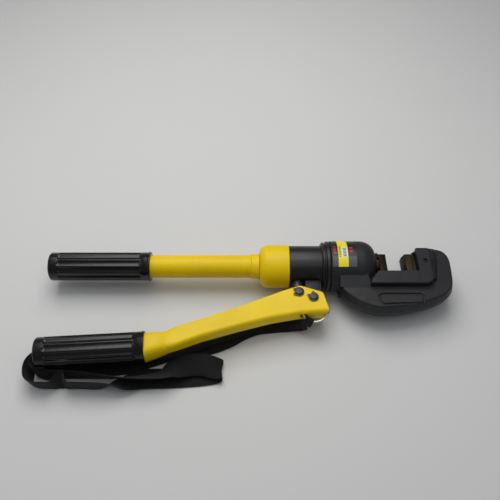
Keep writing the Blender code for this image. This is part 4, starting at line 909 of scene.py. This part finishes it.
# The strap as (x, y, height above the floor), its width direction and its share of full width.
# From the ring it runs left under the lever and its grip, stands up round the left end, comes
# back on its edge, twists flat to the right fold, returns low along the front and then goes
# round the left end and under itself to the ring.
STRAP_ROUTE = [
    ((0.0655, -0.0752, 0.0212), (-0.66, 0.72, 0.18), 0.42),
    ((0.0605, -0.0722, 0.0165), (-0.50, 0.82, 0.25), 0.52),
    ((0.0530, -0.0682, 0.0118), (-0.38, 0.88, 0.28), 0.66),
    ((0.0435, -0.0650, 0.0078), (-0.25, 0.95, 0.20), 0.84),
    ((0.0320, -0.0630, 0.0048), (-0.20, 0.98, 0.08), 1.0),
    ((0.0110, -0.0645, 0.0034), (-0.24, 0.97, 0.0), 1.0),
    ((-0.0150, -0.0715, 0.0034), (-0.28, 0.96, 0.0), 1.0),
    ((-0.0550, -0.0870, 0.0036), (-0.30, 0.95, 0.0), 1.0),
    ((-0.0970, -0.0998, 0.0034), (-0.20, 0.98, 0.0), 1.0),
    ((-0.1520, -0.1064, 0.0034), (-0.05, 1.0, 0.0), 1.0),
    ((-0.2045, -0.1052, 0.0034), (0.05, 1.0, 0.03), 1.0),
    ((-0.2290, -0.1075, 0.0045), (0.15, 0.95, 0.22), 1.0),
    ((-0.2400, -0.1135, 0.0085), (0.12, 0.55, 0.80), 1.0),
    ((-0.2446, -0.1222, 0.0124), (-0.16, 0.15, 0.98), 1.0),
    ((-0.2432, -0.1308, 0.0136), (-0.14, 0.05, 0.99), 1.0),
    ((-0.2330, -0.1362, 0.0136), (-0.02, 0.05, 1.0), 1.0),
    ((-0.2127, -0.1362, 0.0138), (0.0, -0.05, 1.0), 1.0),
    ((-0.1860, -0.1372, 0.0138), (0.0, -0.12, 0.99), 1.0),
    ((-0.1560, -0.1398, 0.0140), (0.0, -0.30, 0.95), 1.0),
    ((-0.1330, -0.1400, 0.0140), (0.0, -0.48, 0.87), 1.0),
    ((-0.1140, -0.1385, 0.0135), (0.05, -0.62, 0.78), 1.0),
    ((-0.0980, -0.1360, 0.0125), (0.05, -0.72, 0.68), 1.0),
    ((-0.0860, -0.1290, 0.0112), (0.05, -0.94, 0.20), 1.0),
    ((-0.0700, -0.1235, 0.0108), (0.02, -0.92, -0.30), 1.0),
    ((-0.0545, -0.1232, 0.0114), (0.0, -0.90, -0.42), 1.0),
    ((-0.0415, -0.1258, 0.0104), (0.0, -0.95, -0.28), 1.0),
    ((-0.0325, -0.1276, 0.0062), (0.0, -0.99, -0.12), 1.0),
    ((-0.0380, -0.1296, 0.0018), (0.0, -1.0, 0.0), 1.0),
    ((-0.0580, -0.1325, 0.0012), (0.0, -1.0, 0.0), 1.0),
    ((-0.0900, -0.1350, 0.0012), (0.0, -1.0, 0.02), 1.0),
    ((-0.1200, -0.1368, 0.0020), (0.0, -0.99, 0.10), 1.0),
    ((-0.1420, -0.1442, 0.0064), (0.0, -0.84, 0.50), 1.0),
    ((-0.1640, -0.1494, 0.0122), (0.0, -0.18, 0.98), 1.0),
    ((-0.1900, -0.1490, 0.0124), (0.0, -0.12, 0.99), 1.0),
    ((-0.2010, -0.1482, 0.0122), (0.0, -0.08, 0.99), 1.0),
    ((-0.2100, -0.1424, 0.0116), (0.0, 0.46, 0.89), 1.0),
    ((-0.2190, -0.1482, 0.0122), (0.0, -0.08, 0.99), 1.0),
    ((-0.2270, -0.1490, 0.0124), (0.0, -0.12, 0.99), 1.0),
    ((-0.2380, -0.1480, 0.0124), (-0.05, -0.12, 0.98), 1.0),
    ((-0.2465, -0.1430, 0.0126), (-0.18, -0.08, 0.98), 1.0),
    ((-0.2488, -0.1290, 0.0124), (-0.28, 0.05, 0.96), 1.0),
    ((-0.2462, -0.1200, 0.0092), (-0.10, 0.50, 0.86), 1.0),
    ((-0.2362, -0.1145, 0.0038), (0.05, 0.92, 0.35), 1.0),
    ((-0.2217, -0.1150, 0.0013), (0.0, 1.0, 0.0), 1.0),
    ((-0.1850, -0.1200, 0.0012), (0.0, 1.0, 0.0), 1.0),
    ((-0.1420, -0.1180, 0.0012), (-0.12, 0.99, 0.0), 1.0),
    ((-0.1100, -0.1075, 0.0012), (-0.30, 0.95, 0.0), 1.0),
    ((-0.0820, -0.0985, 0.0012), (-0.18, 0.98, 0.0), 1.0),
    ((-0.0500, -0.0935, 0.0012), (-0.15, 0.99, 0.0), 1.0),
    ((-0.0280, -0.0852, 0.0012), (-0.42, 0.90, 0.0), 1.0),
    ((-0.0110, -0.0750, 0.0012), (-0.50, 0.87, 0.0), 1.0),
    ((0.0080, -0.0670, 0.0012), (-0.28, 0.96, 0.0), 1.0),
    ((0.0320, -0.0638, 0.0022), (-0.16, 0.98, 0.06), 1.0),
    ((0.0445, -0.0660, 0.0052), (-0.25, 0.95, 0.20), 0.84),
    ((0.0540, -0.0694, 0.0092), (-0.38, 0.88, 0.28), 0.66),
    ((0.0612, -0.0738, 0.0142), (-0.50, 0.82, 0.25), 0.52),
    ((0.0658, -0.0772, 0.0198), (-0.66, 0.72, 0.18), 0.42),
]


def ribbon(name, route, half_width, half_thickness, per_knot=7, columns=8):
    """A woven band of real thickness with rounded edges along the route, and its flat length."""
    centres = [Vector(knot[0]) - Vector((0, 0, AXIS_Z)) for knot in route]
    acrosses = [Vector(knot[1]).normalized() for knot in route]
    widths = [Vector((knot[2], 0, 0)) for knot in route]
    count = (len(route) - 1) * per_knot
    samples = []
    for i in range(count + 1):
        t = i / per_knot
        samples.append((catmull(centres, t), catmull(acrosses, t).normalized(), catmull(widths, t).x))
    bm = bmesh.new()
    rows = []
    length = 0.0
    for i, (centre, across, share) in enumerate(samples):
        before = samples[max(i - 1, 0)][0]
        after = samples[min(i + 1, count)][0]
        along = (after - before).normalized()
        if i:
            length += (centre - before).length
        across = (across - along * across.dot(along)).normalized()
        up = across.cross(along).normalized()
        # The band lies on the floor, never in it.
        low_z = centre.z - abs(across.z) * half_width * share - abs(up.z) * half_thickness
        centre = centre + Vector((0, 0, max(0.0, FLOOR_GAP - AXIS_Z - low_z)))
        ring = []
        for side in (1, -1):
            for k in range(columns + 1):
                u = side * (2 * k / columns - 1)
                selvedge = max(0.0, (abs(u) - 0.93) / 0.07)
                thick = half_thickness * max(math.sqrt(max(0.0, 1 - selvedge ** 2)), 0.30)
                point = centre + across * (half_width * share * u) + up * (thick * side)
                ring.append((bm.verts.new(point), (u + 1) * half_width, length))
        rows.append(ring)
    woven_tube(bm, rows)
    return linked(name, mesh_from(bm, name, 60.0)), length


def build_strap():
    """The long band with all its folds; both its ends reach the ring."""
    strap, length = ribbon("carrying_strap", STRAP_ROUTE, STRAP_HALF_WIDTH, STRAP_HALF_THICKNESS)
    strap.location = ORIGIN
    strap.data.materials.append(MATERIALS["webbing"])
    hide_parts("strap_run", "strap_bundle")
    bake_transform(strap)


def build_strap_end():
    """The sewn end: both strands gathered round the ring's bow and stitched below it."""
    bow_angle = math.radians(-117.0)
    spoke = Vector((math.cos(bow_angle), math.sin(bow_angle), 0))
    spot = ring_matrix() @ (Vector((*RING_CENTRE, 0)) + spoke * RING_R)
    tangent = (ring_matrix().to_3x3() @ Vector((-spoke.y, spoke.x, 0))).normalized()
    down = Vector((-0.55, -0.15, -0.80))
    down = (down - tangent * down.dot(tangent)).normalized()
    out = tangent.cross(down).normalized()
    wrap_r, cloth, half, turns = 0.0025, 0.0009, 0.0052, 10
    legs = ((0.0075, 0.0012), (0.0048, 0.0017))
    path = [down * drop + out * apart for drop, apart in legs]
    path += [(out * math.cos(a) - down * math.sin(a)) * wrap_r
             for a in [math.pi * k / turns for k in range(turns + 1)]]
    path += [down * drop - out * apart for drop, apart in reversed(legs)]
    outline = [(u, v) for v, row in ((-1, (-1, -0.3, 0.4, 1)), (1, (1, 0.4, -0.3, -1))) for u in row]
    bm = bmesh.new()
    rows = []
    run = 0.0
    for i, point in enumerate(path):
        along = (path[min(i + 1, len(path) - 1)] - path[max(i - 1, 0)]).normalized()
        normal = tangent.cross(along).normalized()
        if i:
            run += (point - path[i - 1]).length
        rows.append([(bm.verts.new(spot + point + tangent * half * u + normal * cloth * v),
                      (u + 1) * STRAP_HALF_WIDTH, run) for u, v in outline])
    woven_tube(bm, rows)
    wrap = linked("strap_end_wrap", mesh_from(bm, "strap_end_wrap", 60.0))
    piece(wrap, "ring", "webbing", ["strap_loop"])


# ---------------------------------------------------------------- carried-over CAD nodes

EDGE_ROUNDS = {
    "fixed_blade": 0.0003, "fixed_blade_seat": 0.0004, "moving_blade": 0.0003, "pump_lug": 0.0005,
    "plunger_gland": 0.0002,
}
SHARP_DEG = 32


def shade_group():
    """Smooth shading with sharp edges over SHARP_DEG, for the CAD solids."""
    group = bpy.data.node_groups.new("shade_by_angle", "GeometryNodeTree")
    group.interface.new_socket("Geometry", in_out="INPUT", socket_type="NodeSocketGeometry")
    group.interface.new_socket("Geometry", in_out="OUTPUT", socket_type="NodeSocketGeometry")
    start = group.nodes.new("NodeGroupInput")
    stop = group.nodes.new("NodeGroupOutput")
    angle = group.nodes.new("GeometryNodeInputMeshEdgeAngle")
    compare = group.nodes.new("FunctionNodeCompare")
    compare.operation = "GREATER_THAN"
    compare.inputs[1].default_value = math.radians(SHARP_DEG)
    faces = group.nodes.new("GeometryNodeSetShadeSmooth")
    edges = group.nodes.new("GeometryNodeSetShadeSmooth")
    edges.domain = "EDGE"
    edges.inputs["Shade Smooth"].default_value = False
    link = group.links.new
    link(start.outputs[0], faces.inputs["Geometry"])
    link(faces.outputs[0], edges.inputs["Geometry"])
    link(angle.outputs["Unsigned Angle"], compare.inputs[0])
    link(compare.outputs[0], edges.inputs["Selection"])
    link(edges.outputs[0], stop.inputs[0])
    return group


def dress_cad_nodes():
    """Shown CAD nodes keep their shape, get joined facets, a small edge round and a material."""
    group = shade_group()
    for name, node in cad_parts.items():
        if node.hide_render:
            continue
        slot = node.data.materials[0].name.split(".")[0]
        node.data.materials[0] = MATERIALS[slot]
        normals = node.data.attributes.get("custom_normal")
        if normals is not None:
            node.data.attributes.remove(normals)
        modify(node, "weld", "WELD", merge_threshold=0.000004)
        if name in EDGE_ROUNDS:
            modify(node, "edge_round", "BEVEL", width=EDGE_ROUNDS[name], segments=2,
                   limit_method="ANGLE", angle_limit=math.radians(35))
        modify(node, "shade", "NODES", node_group=group)


# ---------------------------------------------------------------- stage

def build_stage():
    bm = bmesh.new()
    half_size = 3.0
    bm.faces.new([bm.verts.new((x * half_size, y * half_size, -FLOOR_GAP))
                  for x, y in ((-1, -1), (1, -1), (1, 1), (-1, 1))])
    floor = linked("floor", mesh_from(bm, "floor"))
    floor.data.materials.append(floor_material())

    for name, place, size, power, colour in (
            ("key", (-0.10, 0.45, 0.95), 0.80, 6.6, (1.0, 0.985, 0.96)),
            ("top", (0.10, -0.15, 1.20), 1.00, 3.0, (0.97, 0.985, 1.0)),
            ("left", (-1.00, 0.0, 0.60), 0.70, 1.0, (1.0, 1.0, 1.0))):
        light = bpy.data.lights.new(name, "AREA")
        light.shape = "SQUARE"
        light.size = size
        light.energy = power
        light.color = colour
        lamp = linked(name, light)
        lamp.location = place
        lamp.rotation_euler = (-Vector(place)).to_track_quat("-Z", "Y").to_euler()

    world = bpy.data.worlds.new("studio")
    world.use_nodes = True
    background = world.node_tree.nodes["Background"]
    background.inputs["Color"].default_value = (0.93, 0.95, 1.0, 1.0)
    background.inputs["Strength"].default_value = 0.17
    bpy.context.scene.world = world

    camera = bpy.data.cameras.new("camera")
    camera.lens = 43.2
    camera.sensor_width = 36.0
    camera.clip_start = 0.05
    camera.clip_end = 20.0
    eye = linked("camera", camera)
    eye.location = (ORIGIN.x + 0.0007, -0.3711, 0.6337)
    eye.rotation_euler = (math.radians(37.15), 0, 0)
    bpy.context.scene.camera = eye
    # The Standard view keeps the paint's yellow and the deep blacks as their materials give them.
    bpy.context.scene.view_settings.view_transform = "Standard"


build_handle()
build_cylinder()
build_head()
build_label()
build_ram()
build_spring()
build_lever()
build_pins()
build_ring()
build_strap()
build_strap_end()
dress_cad_nodes()
build_stage()
